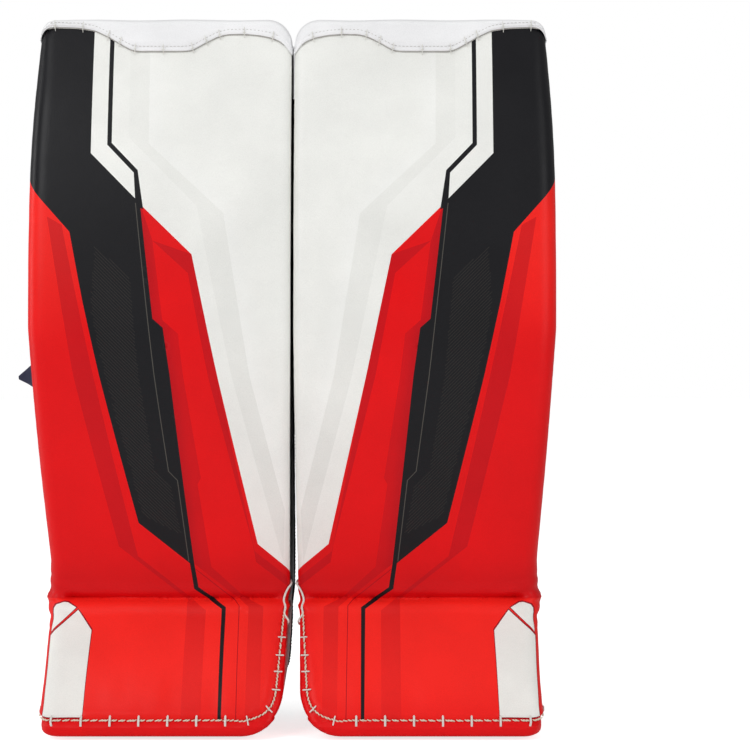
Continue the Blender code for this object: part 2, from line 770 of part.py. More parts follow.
# ---- Assembly ------------------------------------------------------------------------------------
def pieces():
    """Each piece once: name, pivot it moves with, mesh, material."""
    red = material("red_leathercloth", RED, 0.42)
    black = material("black_leathercloth", BLACK, 0.45)
    white = material("white_leathercloth", WHITE, 0.42)
    grey = material("grey_moulded_foam", GREY, 0.55)
    foam = material("closed_cell_foam", FOAM, 0.9)
    nylon = material("black_nylon", BLACK, 0.8)
    webbing = material("red_webbing", RED, 0.75)
    board = material("composite_board", BLACK, 0.35)
    lace = material("waxed_lace", CORD, 0.7)

    shin, full, boot = shin_stations(), full_shin_stations(), boot_stations()
    return [
        ("shin_core", "shin", foam_core(full, shin_core_depth), foam),
        ("face_stiffener", "shin", stiffener(full[1:-2]), board),
        ("face_skin", "shin", face_skin(full), red),
        ("inner_side_skin", "shin", inner_side_skin(full), grey),
        ("back_liner", "shin", back_liner(shin), nylon),
        ("outer_binding", "shin", edge_binding(shin, True), black),
        ("inner_binding", "shin", edge_binding(shin, False), black),
        ("top_cap", "shin", top_cap(), white),
        ("top_lacing", "shin", top_lacing(), lace),
        ("knee_cushion", "shin", knee_cushion(), nylon),
        ("knee_block_core", "shin", knee_block_core(), foam),
        ("knee_block_cover", "shin", knee_block_cover(), grey),
        ("knee_block_end_pad", "shin", knee_block_end_pad(), black),
        ("knee_strap_anchor", "shin", knee_strap_anchor(), webbing),
        ("calf_wedge", "shin", calf_wedge(), nylon),
        ("knee_strap", "knee_strap", knee_strap(), webbing),
        ("knee_strap_tab", "knee_tab", knee_strap_tab(), webbing),
        ("outer_calf_wing", "outer_wing", calf_wing(True), white),
        ("inner_calf_wing", "inner_wing", calf_wing(False), black),
        ("calf_strap", "calf_strap", calf_strap(), nylon),
        ("calf_strap_tab", "calf_tab", calf_strap_tab(), webbing),
        ("boot_core", "boot", foam_core(boot, boot_core_depth), foam),
        ("boot_skin", "boot", boot_skin(boot), red),
        ("boot_outer_binding", "boot", edge_binding(boot, True), black),
        ("boot_inner_binding", "boot", edge_binding(boot, False), black),
        ("ankle_gusset", "boot", ankle_gusset(), red),
        ("toe_binding", "boot", toe_binding(), red),
        ("toe_lacing", "boot", toe_lacing(), lace),
        ("boot_strap", "boot_strap", boot_strap(), nylon),
        ("toe_tie", "toe_tie", toe_tie(), nylon),
    ]


def place(name, parent, location):
    empty = bpy.data.objects.new(name, None)
    bpy.context.scene.collection.objects.link(empty)
    empty.parent = parent
    empty.location = location
    return empty


def build_pad(side, prefix, meshes):
    """One pad's pivots and objects. The right pad is the left one mirrored across the pair's middle."""
    origin = Vector((side * (PAD_WIDTH + PAD_SPACING) / 2, -Y_CENTRE, 0))
    pad = place(prefix + "pad", None, origin)
    pad.scale = (-side, 1, 1)
    pivots = {}
    for name, (point, parent) in PIVOTS.items():
        above = PIVOTS[parent][0] if parent else Vector((0, 0, 0))
        pivots[name] = place(f"{prefix}{name}_pivot", pivots.get(parent, pad), point - above)
    for name, pivot, mesh in meshes:
        obj = bpy.data.objects.new(prefix + name, mesh)
        bpy.context.scene.collection.objects.link(obj)
        obj.parent = pivots[pivot]


def main():
    for obj in list(bpy.data.objects):
        bpy.data.objects.remove(obj)
    meshes = []
    for name, pivot, bm, finish in pieces():
        bmesh.ops.translate(bm, verts=bm.verts, vec=-PIVOTS[pivot][0])
        mesh = bpy.data.meshes.new(name)
        bm.to_mesh(mesh)
        bm.free()
        mesh.materials.append(finish)
        mesh.shade_smooth()
        mesh.set_sharp_from_angle(angle=math.radians(35))
        meshes.append((name, pivot, mesh))
    build_pad(LEFT, "left_", meshes)
    build_pad(RIGHT, "right_", meshes)


main()
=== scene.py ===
"""Looks for the pair of goalie leg pads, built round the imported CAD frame.

Each piece is built once in the pad's own frame (metres; x from the pad's centreline with the outer
side negative, y behind the knee's face, z up), then copied to the left pad and mirrored to the right.
"""

import math

import bmesh
import bpy
import numpy as np
from mathutils import Matrix, Vector, noise
from mathutils.bvhtree import BVHTree
from mathutils.geometry import delaunay_2d_cdt
from mathutils.kdtree import KDTree


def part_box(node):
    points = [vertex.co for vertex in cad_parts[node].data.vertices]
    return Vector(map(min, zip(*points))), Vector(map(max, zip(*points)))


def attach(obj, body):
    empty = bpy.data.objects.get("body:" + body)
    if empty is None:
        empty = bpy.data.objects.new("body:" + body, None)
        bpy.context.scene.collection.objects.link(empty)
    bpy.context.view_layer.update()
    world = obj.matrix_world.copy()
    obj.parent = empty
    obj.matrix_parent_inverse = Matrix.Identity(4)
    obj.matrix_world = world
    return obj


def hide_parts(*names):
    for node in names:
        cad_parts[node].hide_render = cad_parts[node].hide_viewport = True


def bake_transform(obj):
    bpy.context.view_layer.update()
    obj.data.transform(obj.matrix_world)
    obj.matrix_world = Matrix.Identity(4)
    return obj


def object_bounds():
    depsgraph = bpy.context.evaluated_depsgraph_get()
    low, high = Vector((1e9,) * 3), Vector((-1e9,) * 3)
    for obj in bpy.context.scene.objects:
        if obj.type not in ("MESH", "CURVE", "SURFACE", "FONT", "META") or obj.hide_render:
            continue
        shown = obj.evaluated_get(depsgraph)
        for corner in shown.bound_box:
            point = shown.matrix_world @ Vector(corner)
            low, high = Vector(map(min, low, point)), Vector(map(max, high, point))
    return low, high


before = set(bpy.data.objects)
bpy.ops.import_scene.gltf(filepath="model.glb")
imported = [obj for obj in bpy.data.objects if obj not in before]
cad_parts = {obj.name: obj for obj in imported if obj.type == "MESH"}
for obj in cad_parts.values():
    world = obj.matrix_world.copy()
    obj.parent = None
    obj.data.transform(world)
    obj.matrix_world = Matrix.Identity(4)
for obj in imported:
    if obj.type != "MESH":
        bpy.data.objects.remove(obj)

cad_low, cad_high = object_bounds()

# ---- The pad's own frame, from the CAD -----------------------------------------------------------
skin_low, skin_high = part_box("left_face_skin")
block_low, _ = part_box("left_knee_block_core")
right_low, right_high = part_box("right_face_skin")

PAD_WIDTH = skin_high.x - skin_low.x
PAD_HEIGHT = cad_high.z
LEFT, RIGHT = -1, 1
WALL_BACK = 0.077  # back of the side walls at the knee
ORIGIN_Y = block_low.y - WALL_BACK - 0.0022  # the knee's face
ORIGIN_X = {LEFT: (skin_low.x + skin_high.x) / 2, RIGHT: (right_low.x + right_high.x) / 2}
PREFIX = {LEFT: "left_", RIGHT: "right_"}

# ---- Shape of the pad, as in the CAD -------------------------------------------------------------
KNEE_Z, CREASE_Z = 0.430, 0.142
BOOT_TOP_Z, SOLE_Z = 0.136, 0.0135
OUTER_X, INNER_X = -PAD_WIDTH / 2, PAD_WIDTH / 2
OUTER_TAPER, INNER_TAPER, TOP_TAPER = 0.019, 0.003, 0.008
OUTER_RADIUS, INNER_RADIUS = 0.018, 0.009
TOP_OUTER_RADIUS, TOP_INNER_RADIUS = 0.016, 0.028
BINDING = 0.011
MID_THICKNESS, WALL_OUT, WALL_IN = 0.045, 0.036, 0.030
CAP_TOP = 0.007
CAP_BACK_Z = PAD_HEIGHT - 0.083
SHIN_TOP_Z = PAD_HEIGHT - CAP_TOP - 0.001
BOOT_OUTER, BOOT_INNER = OUTER_X + OUTER_TAPER, INNER_X - 0.0055
SOLE_THICK = 0.0135
SEAM_V = SOLE_Z + 0.0050  # the toe seam, above the CAD's sole edge


def lerp(a, b, t):
    return a + (b - a) * t


def spread(a, b, steps):
    """Evenly spaced values from a to b, both included."""
    return [lerp(a, b, k / steps) for k in range(steps + 1)]


def clamp01(t):
    return max(0.0, min(1.0, t))


def smooth(t):
    t = clamp01(t)
    return t * t * (3 - 2 * t)


def front_y(z):
    if z > KNEE_Z:
        return 0.049 * ((z - KNEE_Z) / (PAD_HEIGHT - KNEE_Z)) ** 2
    return 0.062 * ((KNEE_Z - z) / (KNEE_Z - CREASE_Z)) ** 1.6


def wall_back_y(z):
    return min(WALL_BACK + (0.179 - WALL_BACK) / 0.232 * max(0.0, 0.410 - z), 0.179)


def taper(z):
    return clamp01((KNEE_Z - z) / (KNEE_Z - CREASE_Z))


def outer_edge(z):
    return OUTER_X + OUTER_TAPER * taper(z) + TOP_TAPER * clamp01((z - 0.560) / 0.178) ** 2


def inner_edge(z):
    return INNER_X - INNER_TAPER * taper(z)


def corner_inset(z, radius, top):
    rise = min(max(z - (top - radius), 0.0), radius)
    return radius - math.sqrt(radius**2 - rise**2)


def toe_inset(height):
    """How far the rounded inner toe corner has drawn in, this high above the floor."""
    rise = clamp01(1 - height / 0.048)
    return 0.003 * clamp01(1 - height / 0.120) + 0.046 * (1 - math.sqrt(1 - rise**2))


class Station:
    """A section of the pad: where it meets the face, the way it runs back, side limits and depth."""

    def __init__(self, y, z, dy, dz, outer, inner, depth):
        self.y, self.z, self.dy, self.dz = y, z, dy, dz
        self.outer, self.inner, self.depth = outer, inner, depth

    def at(self, x, depth):
        return Vector((x, self.y + depth * self.dy, self.z + depth * self.dz))


def shin_station(z):
    top = PAD_HEIGHT - CAP_TOP
    return Station(
        front_y(z), z, 1.0, 0.0,
        outer_edge(z) + corner_inset(z, TOP_OUTER_RADIUS, top),
        inner_edge(z) - corner_inset(z, TOP_INNER_RADIUS, top),
        wall_back_y(z) - front_y(z),
    )


def boot_station(t):
    top, sole = Vector((0.060, BOOT_TOP_Z)), Vector((-0.0195, SOLE_Z))
    along = sole - top
    outward = Vector((along.y, -along.x)).normalized()
    front = top + along * t + outward * 0.006 * 4 * t * (1 - t)
    back = (
        Vector((0.179, 0.122)) * (1 - t) ** 2
        + Vector((0.190, 0.078)) * 2 * t * (1 - t)
        + Vector((0.120, 0.046)) * t**2
    )
    run = back - front
    way = run.normalized()
    inner = BOOT_INNER - toe_inset(front.y)
    return Station(front.x, front.y, way.x, way.y, BOOT_OUTER, inner, run.length)


def station(v):
    """The section at pattern height v: the shin above the boot break, the boot's fan below it."""
    if v >= CREASE_Z:
        return shin_station(v)
    if v <= BOOT_TOP_Z:
        return boot_station((BOOT_TOP_Z - v) / (BOOT_TOP_Z - SOLE_Z))
    a, b = boot_station(0.0), shin_station(CREASE_Z)
    q = (v - BOOT_TOP_Z) / (CREASE_Z - BOOT_TOP_Z)
    fields = ("y", "z", "dy", "dz", "outer", "inner", "depth")
    return Station(*(lerp(getattr(a, field), getattr(b, field), q) for field in fields))


def wrapped(s, u):
    """Where pattern distance u lands on section s: (x, depth, normal x, normal depth). The pattern
    lies flat on the face, so there u is x; past a corner it is the length round the corner."""
    limit = 0.4 * s.depth
    r_out, r_in = min(OUTER_RADIUS, limit), min(INNER_RADIUS, limit)
    left, right = s.outer + r_out, s.inner - r_in
    if left <= u <= right:
        return u, 0.0, 0.0, -1.0
    r, edge, side = (r_out, left, -1) if u < left else (r_in, right, 1)
    past = abs(u - edge)
    angle = past / r
    if angle < math.pi / 2:
        sine, cosine = math.sin(angle), math.cos(angle)
        return edge + side * r * sine, r * (1 - cosine), side * sine, -cosine
    return edge + side * r, r + past - r * math.pi / 2, float(side), 0.0


def u_at_depth(s, depth, side):
    """Pattern distance of the place `depth` back along the outer (-1) or inner (1) side."""
    limit = 0.4 * s.depth
    r = min(OUTER_RADIUS if side < 0 else INNER_RADIUS, limit)
    edge = s.outer + r if side < 0 else s.inner - r
    return edge + side * (r * math.pi / 2 + depth - r)


def side_end(s):
    return s.depth - BINDING


def corner_u(s, inset, side=1):
    """Pattern distance of the place on the rounded corner whose x is `inset` inside the pad's side."""
    r = min(INNER_RADIUS if side > 0 else OUTER_RADIUS, 0.4 * s.depth)
    edge = s.inner - r if side > 0 else s.outer + r
    if inset > r:
        return edge + side * (r - inset)
    return edge + side * r * math.asin(clamp01((r - inset) / r))


# ---- Surface relief: the boot break's fold, its wrinkles and the soft padding --------------------
FOLD_V = 0.1390
# The seam's turn up the inner toe corner: height and how far inside the pad's side it runs.
SEAM_CORNER = [(0.0185, 0.0320), (0.0200, 0.0255), (0.0225, 0.0185), (0.0265, 0.0130), (0.0320, 0.0098),
               (0.0400, 0.0080), (0.0520, 0.0068), (0.0660, 0.0058), (0.0820, 0.0048), (0.1000, 0.0036),
               (0.1160, 0.0026), (0.1290, 0.0020)]
seam_corner_uv = [(corner_u(station(v), inset), v) for v, inset in SEAM_CORNER]


def distance_to(line, u, v):
    """Distance from (u, v) to an open polyline."""
    best = 1.0
    for (x0, y0), (x1, y1) in zip(line, line[1:]):
        dx, dy = x1 - x0, y1 - y0
        t = clamp01(((u - x0) * dx + (v - y0) * dy) / (dx * dx + dy * dy))
        best = min(best, math.hypot(u - x0 - t * dx, v - y0 - t * dy))
    return best


RIM_SWELL = 0.0016


def outside_seam(u, v):
    """Whether (u, v) lies on the rim's side of the seam's turn up the inner toe corner."""
    return u > np.interp(v, [p[1] for p in seam_corner_uv], [p[0] for p in seam_corner_uv]) and v < 0.125


def bell(x, width):
    return math.exp(-((x / width) ** 2))


def relief(u, v):
    """How far the skin stands off its section at (u, v), outward positive."""
    off = v - FOLD_V
    outer = smooth((-0.102 - u) / 0.014) * (1 - smooth((-0.150 - u) / 0.050))
    inner = smooth((u - 0.117) / 0.012)
    wrinkle = noise.noise(Vector((u * 28, v * 95, 1.7)))
    near = bell(off, 0.026)
    swell = 0.0012 * bell(off - 0.009, 0.006) + 0.0030 * bell(off + 0.0075, 0.0065)
    fold_off = off - 0.0008 * noise.noise(Vector((u * 22, 4.1, 0))) - 0.0010 * smooth((-0.06 - u) / 0.05)
    fold = -0.0062 * bell(fold_off, 0.0022) * (1 - outer) * (1 - inner)
    ear = 0.0040 * outer * bell(off - 0.0008, 0.0050)
    lumps = 0.0006 * near * wrinkle
    pucker = 0.0009 * smooth((-0.065 - u) / 0.045) * near * math.sin(off * 420 + u * 95 + 2.5 * wrinkle)
    if v < FOLD_V:
        share = clamp01((FOLD_V - v) / (FOLD_V - SEAM_V))
        seam = v - SEAM_V
        soft = 0.0013 * noise.noise(Vector((u * 17, v * 21, 8.3))) * clamp01(share * 4)
        soft += 0.0007 * noise.noise(Vector((u * 60, v * 26, 2.3))) * smooth((share - 0.55) / 0.3)
        if u > 0.075:
            seam = min(seam, distance_to(seam_corner_uv, u, v))
        soft += 0.0012 * bell(seam - 0.0052, 0.0026) - 0.0026 * (1 - smooth(abs(seam) / 0.0036))
        if outside_seam(u, v):
            soft = lerp(soft, RIM_SWELL, smooth(distance_to(seam_corner_uv, u, v) / 0.004))
        soft += outer * (0.0036 - 0.0016 * math.sin(math.pi * share))
        soft -= 0.0014 * inner
    else:
        soft = 0.0006 * noise.noise(Vector((u * 9, v * 7, 3.9)))
        soft += (0.0036 * outer * smooth((0.048 - off) / 0.040)
                 - 0.0014 * inner * smooth((0.020 - off) / 0.020))
    return swell + fold + ear + lumps + pucker + soft


def skin_point(u, v, lift=0.0):
    s = station(v)
    x, depth, nx, nd = wrapped(s, u)
    out = relief(u, v) + lift
    return s.at(x + nx * out, depth + nd * out)


def skin_normal(u, v):
    s = station(v)
    _, _, nx, nd = wrapped(s, u)
    return Vector((nx, nd * s.dy, nd * s.dz)).normalized()


# ---- Node materials ------------------------------------------------------------------------------
class Nodes:
    """A material's node tree, with short calls for the few nodes used here."""

    def __init__(self, name, roughness=0.5):
        self.material = bpy.data.materials.new(name)
        self.material.use_nodes = True
        self.tree = self.material.node_tree
        self.shader = self.tree.nodes["Principled BSDF"]
        self.shader.inputs["Roughness"].default_value = roughness
        self.where = self.add("ShaderNodeTexCoord").outputs["Object"]

    def add(self, kind, inputs=None, **settings):
        node = self.tree.nodes.new(kind)
        for key, value in settings.items():
            setattr(node, key, value)
        for key, value in (inputs or {}).items():
            self.link(value, node.inputs[key])
        return node

    def link(self, source, target):
        """Fills an input with a number, a colour or another node's output."""
        if isinstance(source, (int, float)):
            target.default_value = source
        elif isinstance(source, tuple):
            target.default_value = (*source, 1)
        else:
            self.tree.links.new(source, target)

    def attribute(self, name, output="Color"):
        return self.add("ShaderNodeAttribute", attribute_name=name).outputs[output]

    def noise(self, scale, detail):
        inputs = {"Vector": self.where, "Scale": scale, "Detail": detail, "Roughness": 0.55}
        return self.add("ShaderNodeTexNoise", inputs).outputs["Fac"]

    def cells(self, scale, feature="F1"):
        inputs = {"Vector": self.where, "Scale": scale}
        return self.add("ShaderNodeTexVoronoi", inputs, feature=feature).outputs["Distance"]

    def wave(self, scale, direction, distortion, where=None):
        inputs = {"Vector": where or self.where, "Scale": scale, "Distortion": distortion}
        return self.add("ShaderNodeTexWave", inputs, bands_direction=direction).outputs["Fac"]

    def maths(self, operation, a, b):
        return self.add("ShaderNodeMath", {0: a, 1: b}, operation=operation).outputs[0]

    def remap(self, value, low, high, to_low, to_high):
        inputs = {"Value": value, "From Min": low, "From Max": high, "To Min": to_low, "To Max": to_high}
        return self.add("ShaderNodeMapRange", inputs).outputs["Result"]

    def mix(self, factor, a, b, blend="MIX"):
        inputs = {"Factor": factor, "A": a, "B": b}
        return self.add("ShaderNodeMix", inputs, data_type="RGBA", blend_type=blend).outputs["Result"]

    def colour(self, value):
        self.link(value, self.shader.inputs["Base Color"])

    def roughness(self, value):
        self.link(value, self.shader.inputs["Roughness"])

    def bump(self, height, strength, distance):
        inputs = {"Height": height, "Strength": strength, "Distance": distance}
        self.link(self.add("ShaderNodeBump", inputs).outputs["Normal"], self.shader.inputs["Normal"])


def grained(nodes, grain, depth, base_rough):
    """Leather grain: fine cells over a slow unevenness, with roughness that follows both."""
    fine = nodes.cells(grain)
    slow = nodes.noise(grain * 0.12, 2.0)
    height = nodes.maths("ADD", fine, nodes.maths("MULTIPLY", slow, 1.6))
    nodes.bump(height, 0.30, depth)
    worn = nodes.noise(16.0, 4.0)
    nodes.roughness(nodes.maths("ADD", nodes.remap(worn, 0.3, 0.7, base_rough - 0.05, base_rough + 0.07),
                                nodes.remap(fine, 0.0, 0.6, 0.03, -0.03)))


def leathercloth(name, colour, base_rough=0.44, grain=900.0, depth=0.0002):
    nodes = Nodes(name)
    slow = nodes.noise(9.0, 4.0)
    shade = nodes.remap(slow, 0.3, 0.7, 0.93, 1.05)
    tint = nodes.attribute("Tint") if colour is None else colour
    fleck = nodes.remap(nodes.noise(1400.0, 2.0), 0.35, 0.65, 0.96, 1.04)
    factor = nodes.maths("MULTIPLY", shade, fleck)
    rgb = nodes.add("ShaderNodeCombineXYZ", dict.fromkeys("XYZ", factor))
    nodes.colour(nodes.mix(1.0, tint, rgb.outputs[0], "MULTIPLY"))
    grained(nodes, grain, depth, base_rough)
    nodes.shader.inputs["Specular IOR Level"].default_value = 0.16
    return nodes.material


RED = (0.80, 0.004, 0.006)
# painted light: the red as lit bright, on the boot and high on the outer side
LIT_RED = (0.97, 0.020, 0.014)
DARK_RED = (0.42, 0.003, 0.010)
# painted shade: the red deepened down the shin to the boot break
SHADED_RED = (0.50, 0.004, 0.008)
BLACK = (0.011, 0.011, 0.013)
WHITE = (0.88, 0.885, 0.85)

# its colours are the print plus painted light and shade, carried in the Tint attribute
print_and_painted_light = leathercloth("printed_leathercloth_painted_light", None, 0.40)
red_leather = leathercloth("red_leathercloth", RED, 0.42)
black_leather = leathercloth("black_leathercloth", (0.013, 0.013, 0.015), 0.46)
white_leather = leathercloth("white_leathercloth", (0.90, 0.90, 0.91), 0.36, 1100.0, 0.00012)


def foam_material(name, colour, scale):
    nodes = Nodes(name, 0.85)
    pores = nodes.cells(scale)
    nodes.colour(nodes.mix(nodes.remap(pores, 0.05, 0.5, 0.0, 1.0), tuple(c * 0.7 for c in colour), colour))
    nodes.bump(pores, 0.35, 0.0003)
    return nodes.material


def knit_material(name, colour):
    """Brushed knit lining: rows of small loops with a soft nap."""
    nodes = Nodes(name, 0.92)
    rows = nodes.wave(420.0, "Z", 1.2)
    ribs = nodes.wave(420.0, "X", 1.2)
    loops = nodes.maths("MULTIPLY", rows, ribs)
    nap = nodes.noise(380.0, 4.0)
    height = nodes.maths("ADD", loops, nap)
    pale = tuple(min(1.0, c * 2.1 + 0.006) for c in colour)
    nodes.colour(nodes.mix(nodes.remap(height, 0.35, 1.25, 0.0, 1.0), colour, pale))
    nodes.bump(height, 0.45, 0.0004)
    nodes.shader.inputs["Sheen Weight"].default_value = 0.25
    return nodes.material


def webbing_material(name, colour):
    """Flat woven strap: ribs across the strap, crossed by fine warp yarns, by the strap's own run."""
    nodes = Nodes(name, 0.72)
    run = nodes.attribute("Run", "Vector")
    ribs = nodes.wave(1.0 / 0.0016 / 3.14159, "X", 0.4, run)
    yarns = nodes.wave(1.0 / 0.0011 / 3.14159, "Y", 0.6, run)
    weave = nodes.maths("ADD", nodes.maths("MULTIPLY", ribs, 0.7), nodes.maths("MULTIPLY", yarns, 0.5))
    fuzz = nodes.noise(900.0, 2.0)
    dark = tuple(c * 0.55 for c in colour)
    nodes.colour(nodes.mix(nodes.remap(nodes.maths("ADD", weave, fuzz), 0.6, 1.5, 0.0, 1.0), dark, colour))
    nodes.bump(weave, 0.6, 0.0003)
    nodes.shader.inputs["Sheen Weight"].default_value = 0.15
    return nodes.material


def thread_material(name, colour, roughness=0.6):
    nodes = Nodes(name, roughness)
    fibre = nodes.noise(2600.0, 2.0)
    dark = tuple(c * 0.72 for c in colour)
    nodes.colour(nodes.mix(nodes.remap(fibre, 0.35, 0.65, 0.0, 1.0), dark, colour))
    nodes.bump(fibre, 0.4, 0.0001)
    return nodes.material


def moulded_material(name, colour, base_rough, scale=650.0, depth=0.00025):
    """Moulded plastic or skinned foam: pebbled, with slow patches that are darker and less rough."""
    nodes = Nodes(name, base_rough)
    pebble = nodes.cells(scale, "SMOOTH_F1")
    slow = nodes.noise(30.0, 3.0)
    nodes.colour(nodes.mix(nodes.remap(slow, 0.3, 0.7, 0.0, 1.0), tuple(c * 0.8 for c in colour), colour))
    nodes.roughness(nodes.remap(slow, 0.3, 0.7, base_rough - 0.06, base_rough + 0.08))
    nodes.bump(pebble, 0.4, depth)
    return nodes.material


# near black as painted shade: foam showing in the boot break's fold reads as shadow; the foam is hidden
# elsewhere
shade_dark_foam = foam_material("closed_cell_foam", (0.030, 0.030, 0.033), 700.0)
board = moulded_material("composite_board", (0.02, 0.02, 0.022), 0.35, 900.0, 0.0001)
block_grey = moulded_material("grey_moulded_foam", (0.052, 0.047, 0.048), 0.52)
acetal = moulded_material("black_acetal", (0.012, 0.012, 0.013), 0.34, 1500.0, 0.00006)
black_knit = knit_material("black_knit", (0.012, 0.012, 0.014))
red_web = webbing_material("red_webbing", (0.55, 0.006, 0.010))
black_web = webbing_material("black_webbing", (0.014, 0.014, 0.017))
navy_web = webbing_material("navy_webbing", (0.006, 0.013, 0.055))
lace_cream = thread_material("waxed_lace", (0.86, 0.80, 0.64), 0.5)
thread_white = thread_material("white_thread", (0.86, 0.85, 0.80))
thread_black = thread_material("black_thread", (0.012, 0.012, 0.013))
thread_grey = thread_material("grey_thread", (0.55, 0.53, 0.50))


# ---- Mesh helpers --------------------------------------------------------------------------------
UP = Vector((0, 0, 1))
PAD_TO_WORLD = {
    side: Matrix.Translation((ORIGIN_X[side], ORIGIN_Y, 0)) @ Matrix.Diagonal((-side, 1, 1, 1))
    for side in (LEFT, RIGHT)
}


def mesh_from(bm, smooth_angle=40):
    mesh = bpy.data.meshes.new("piece")
    bm.to_mesh(mesh)
    bm.free()
    mesh.shade_smooth()
    mesh.set_sharp_from_angle(angle=math.radians(smooth_angle))
    return mesh


# The CAD material that each material here stands for
SLOTS = {
    "waxed_lace": (lace_cream, thread_white, thread_black, thread_grey),
    "black_leathercloth": (black_leather, acetal),
    "black_webbing": (black_web, navy_web),
    "red_webbing": (red_web,),
    "black_knit": (black_knit,),
    "red_leathercloth": (red_leather, print_and_painted_light),
    "white_leathercloth": (white_leather,),
    "grey_moulded_foam": (block_grey,),
}
SLOT_OF = {material.name: slot for slot, materials in SLOTS.items() for material in materials}


def emit(name, mesh, body, material, replaces=(), blend=None, sides=(LEFT, RIGHT), slot=None):
    """Puts the left and the mirrored right copy of a piece in the scene. `body` is the body it rides
    on, unless `blend` is given: such a piece is left in place on no body, and the second body and the
    start and end of the bend that `blend` gives, in the pad's frame, are not used."""
    mesh.materials.clear()
    mesh.materials.append(material)
    for side in sides:
        prefix = PREFIX[side]
        copy = mesh.copy()
        copy.transform(PAD_TO_WORLD[side])
        if side == RIGHT:
            copy.flip_normals()
        copy.name = prefix + name
        obj = bpy.data.objects.new(prefix + name, copy)
        bpy.context.scene.collection.objects.link(obj)
        if blend:
            other, start, end = blend
            PAD_TO_WORLD[side] @ Vector(start)
            PAD_TO_WORLD[side] @ Vector(end)
            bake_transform(obj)
        else:
            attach(obj, prefix + body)
        if replaces:
            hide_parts(*(prefix + node for node in replaces))
        slot or SLOT_OF[material.name]


def loft(rings, bm=None, endless=False):
    """Joins closed rings of points into a tube, capped at both ends, or endless as a tyre is."""
    bm = bm or bmesh.new()
    loops = [[bm.verts.new(p) for p in ring] for ring in rings]
    n = len(loops[0])
    made = []
    for low, high in zip(loops, loops[1:] + loops[:1] if endless else loops[1:]):
        for i in range(n):
            j = (i + 1) % n
            made.append(bm.faces.new((low[i], low[j], high[j], high[i])))
    if not endless:
        made.append(bm.faces.new(loops[0][::-1]))
        made.append(bm.faces.new(loops[-1]))
    bmesh.ops.recalc_face_normals(bm, faces=made)
    return bm


def resample(points, step):
    """A polyline's points with more between them, no further apart than `step`."""
    points = [Vector(p) for p in points]
    out = points[:1]
    for a, b in zip(points, points[1:]):
        n = max(1, math.ceil((b - a).length / step))
        out += [a.lerp(b, (i + 1) / n) for i in range(n)]
    return out


def spline(points, steps=8):
    """A Catmull-Rom curve through the points."""
    points = [Vector(p) for p in points]
    pts = [points[0] * 2 - points[1]] + points + [points[-1] * 2 - points[-2]]
    out = []
    for i in range(1, len(pts) - 2):
        a, b, c, d = pts[i - 1 : i + 3]
        for k in range(steps):
            t = k / steps
            out.append(0.5 * (2 * b + (c - a) * t + (2 * a - 5 * b + 4 * c - d) * t**2
                              + (3 * b - 3 * c + d - a) * t**3))
    return out + [points[-1]]


def way_along(path, i):
    return (path[min(i + 1, len(path) - 1)] - path[max(i - 1, 0)]).normalized()


def square_to(along, across):
    """The way nearest to `across` that is square to `along`."""
    return (across - along * across.dot(along)).normalized()


def frames(path):
    """At each point of a path, the way along it and two ways across it that don't twist."""
    across = None
    for i, p in enumerate(path):
        along = way_along(path, i)
        across = square_to(along, across or along.orthogonal().normalized())
        yield p, along, across, along.cross(across)


def cord(path, radius, bm=None, sides=8, ends=True):
    rings = []
    total = len(path)
    for i, (p, _, u, w) in enumerate(frames(path)):
        r = radius * (0.55 if ends and i in (0, total - 1) else 1.0)
        turn = [2 * math.pi * k / sides for k in range(sides)]
        rings.append([p + (u * math.cos(a) + w * math.sin(a)) * r for a in turn])
    return loft(rings, bm)


def twisted_cord(path, radius, pitch, bm=None, strands=2, sides=6):
    """A laid cord: strands that wind round the path."""
    bm = bm or bmesh.new()
    length = 0.0
    centres = [[] for _ in range(strands)]
    previous = path[0]
    for p, _, u, w in frames(path):
        length += (p - previous).length
        previous = p
        for k in range(strands):
            a = 2 * math.pi * (length / pitch + k / strands)
            centres[k].append(p + (u * math.cos(a) + w * math.sin(a)) * radius * 0.5)
    for line in centres:
        cord(line, radius * 0.62, bm, sides)
    return bm


def stitch(bm, a, b, normal, radius, rise=0.6):
    """One stitch from a to b, its ends sunk in and its middle standing proud."""
    n = 5
    path = []
    for i in range(n):
        t = i / (n - 1)
        path.append(a.lerp(b, t) + normal * (radius * (2.2 * math.sin(math.pi * t) ** rise - 0.8)))
    cord(path, radius, bm, 5)


def stitch_line(bm, path, normals, length, gap, radius):
    """Dashes of thread along a path."""
    step = length + gap
    marks = [0.0]
    for p, q in zip(path, path[1:]):
        marks.append(marks[-1] + (q - p).length)
    total = marks[-1]

    def place(distance):
        i = min(max(np.searchsorted(marks, distance) - 1, 0), len(path) - 2)
        t = (distance - marks[i]) / max(marks[i + 1] - marks[i], 1e-9)
        return path[i].lerp(path[i + 1], t), normals[i].lerp(normals[i + 1], t).normalized()

    for k in range(int(total / step)):
        (a, n1), (b, _) = place(k * step), place(k * step + length)
        stitch(bm, a, b, n1, radius)


def ribbon(path, widths, thickness, across, steps_across=6):
    """A flat strap along a path with rounded edges, carrying its own run as a vector attribute."""
    bm = bmesh.new()
    layer = bm.verts.layers.float_vector.new("Run")
    rings, runs = [], []
    length = 0.0
    for i, p in enumerate(path):
        along = way_along(path, i)
        side = square_to(along, across.normalized())
        face = along.cross(side).normalized()
        half, t = widths[i] / 2, thickness / 2
        length += (p - path[i - 1]).length if i else 0.0
        ring, run = [], []
        profile = [(-1 + 2 * k / steps_across, 1) for k in range(steps_across + 1)]
        profile += [(1 - 2 * k / steps_across, -1) for k in range(steps_across + 1)]
        for q, up in profile:
            edge = 0.45 if abs(q) > 0.999 else 1.0
            ring.append(p + side * half * q + face * t * up * edge)
            run.append(Vector((length, half * q, 0)))
        rings.append(ring)
        runs.append(run)
    loft(rings, bm)
    bm.verts.ensure_lookup_table()
    flat = [r for run in runs for r in run]
    for vert, run in zip(bm.verts, flat):
        vert[layer] = run
    return bm


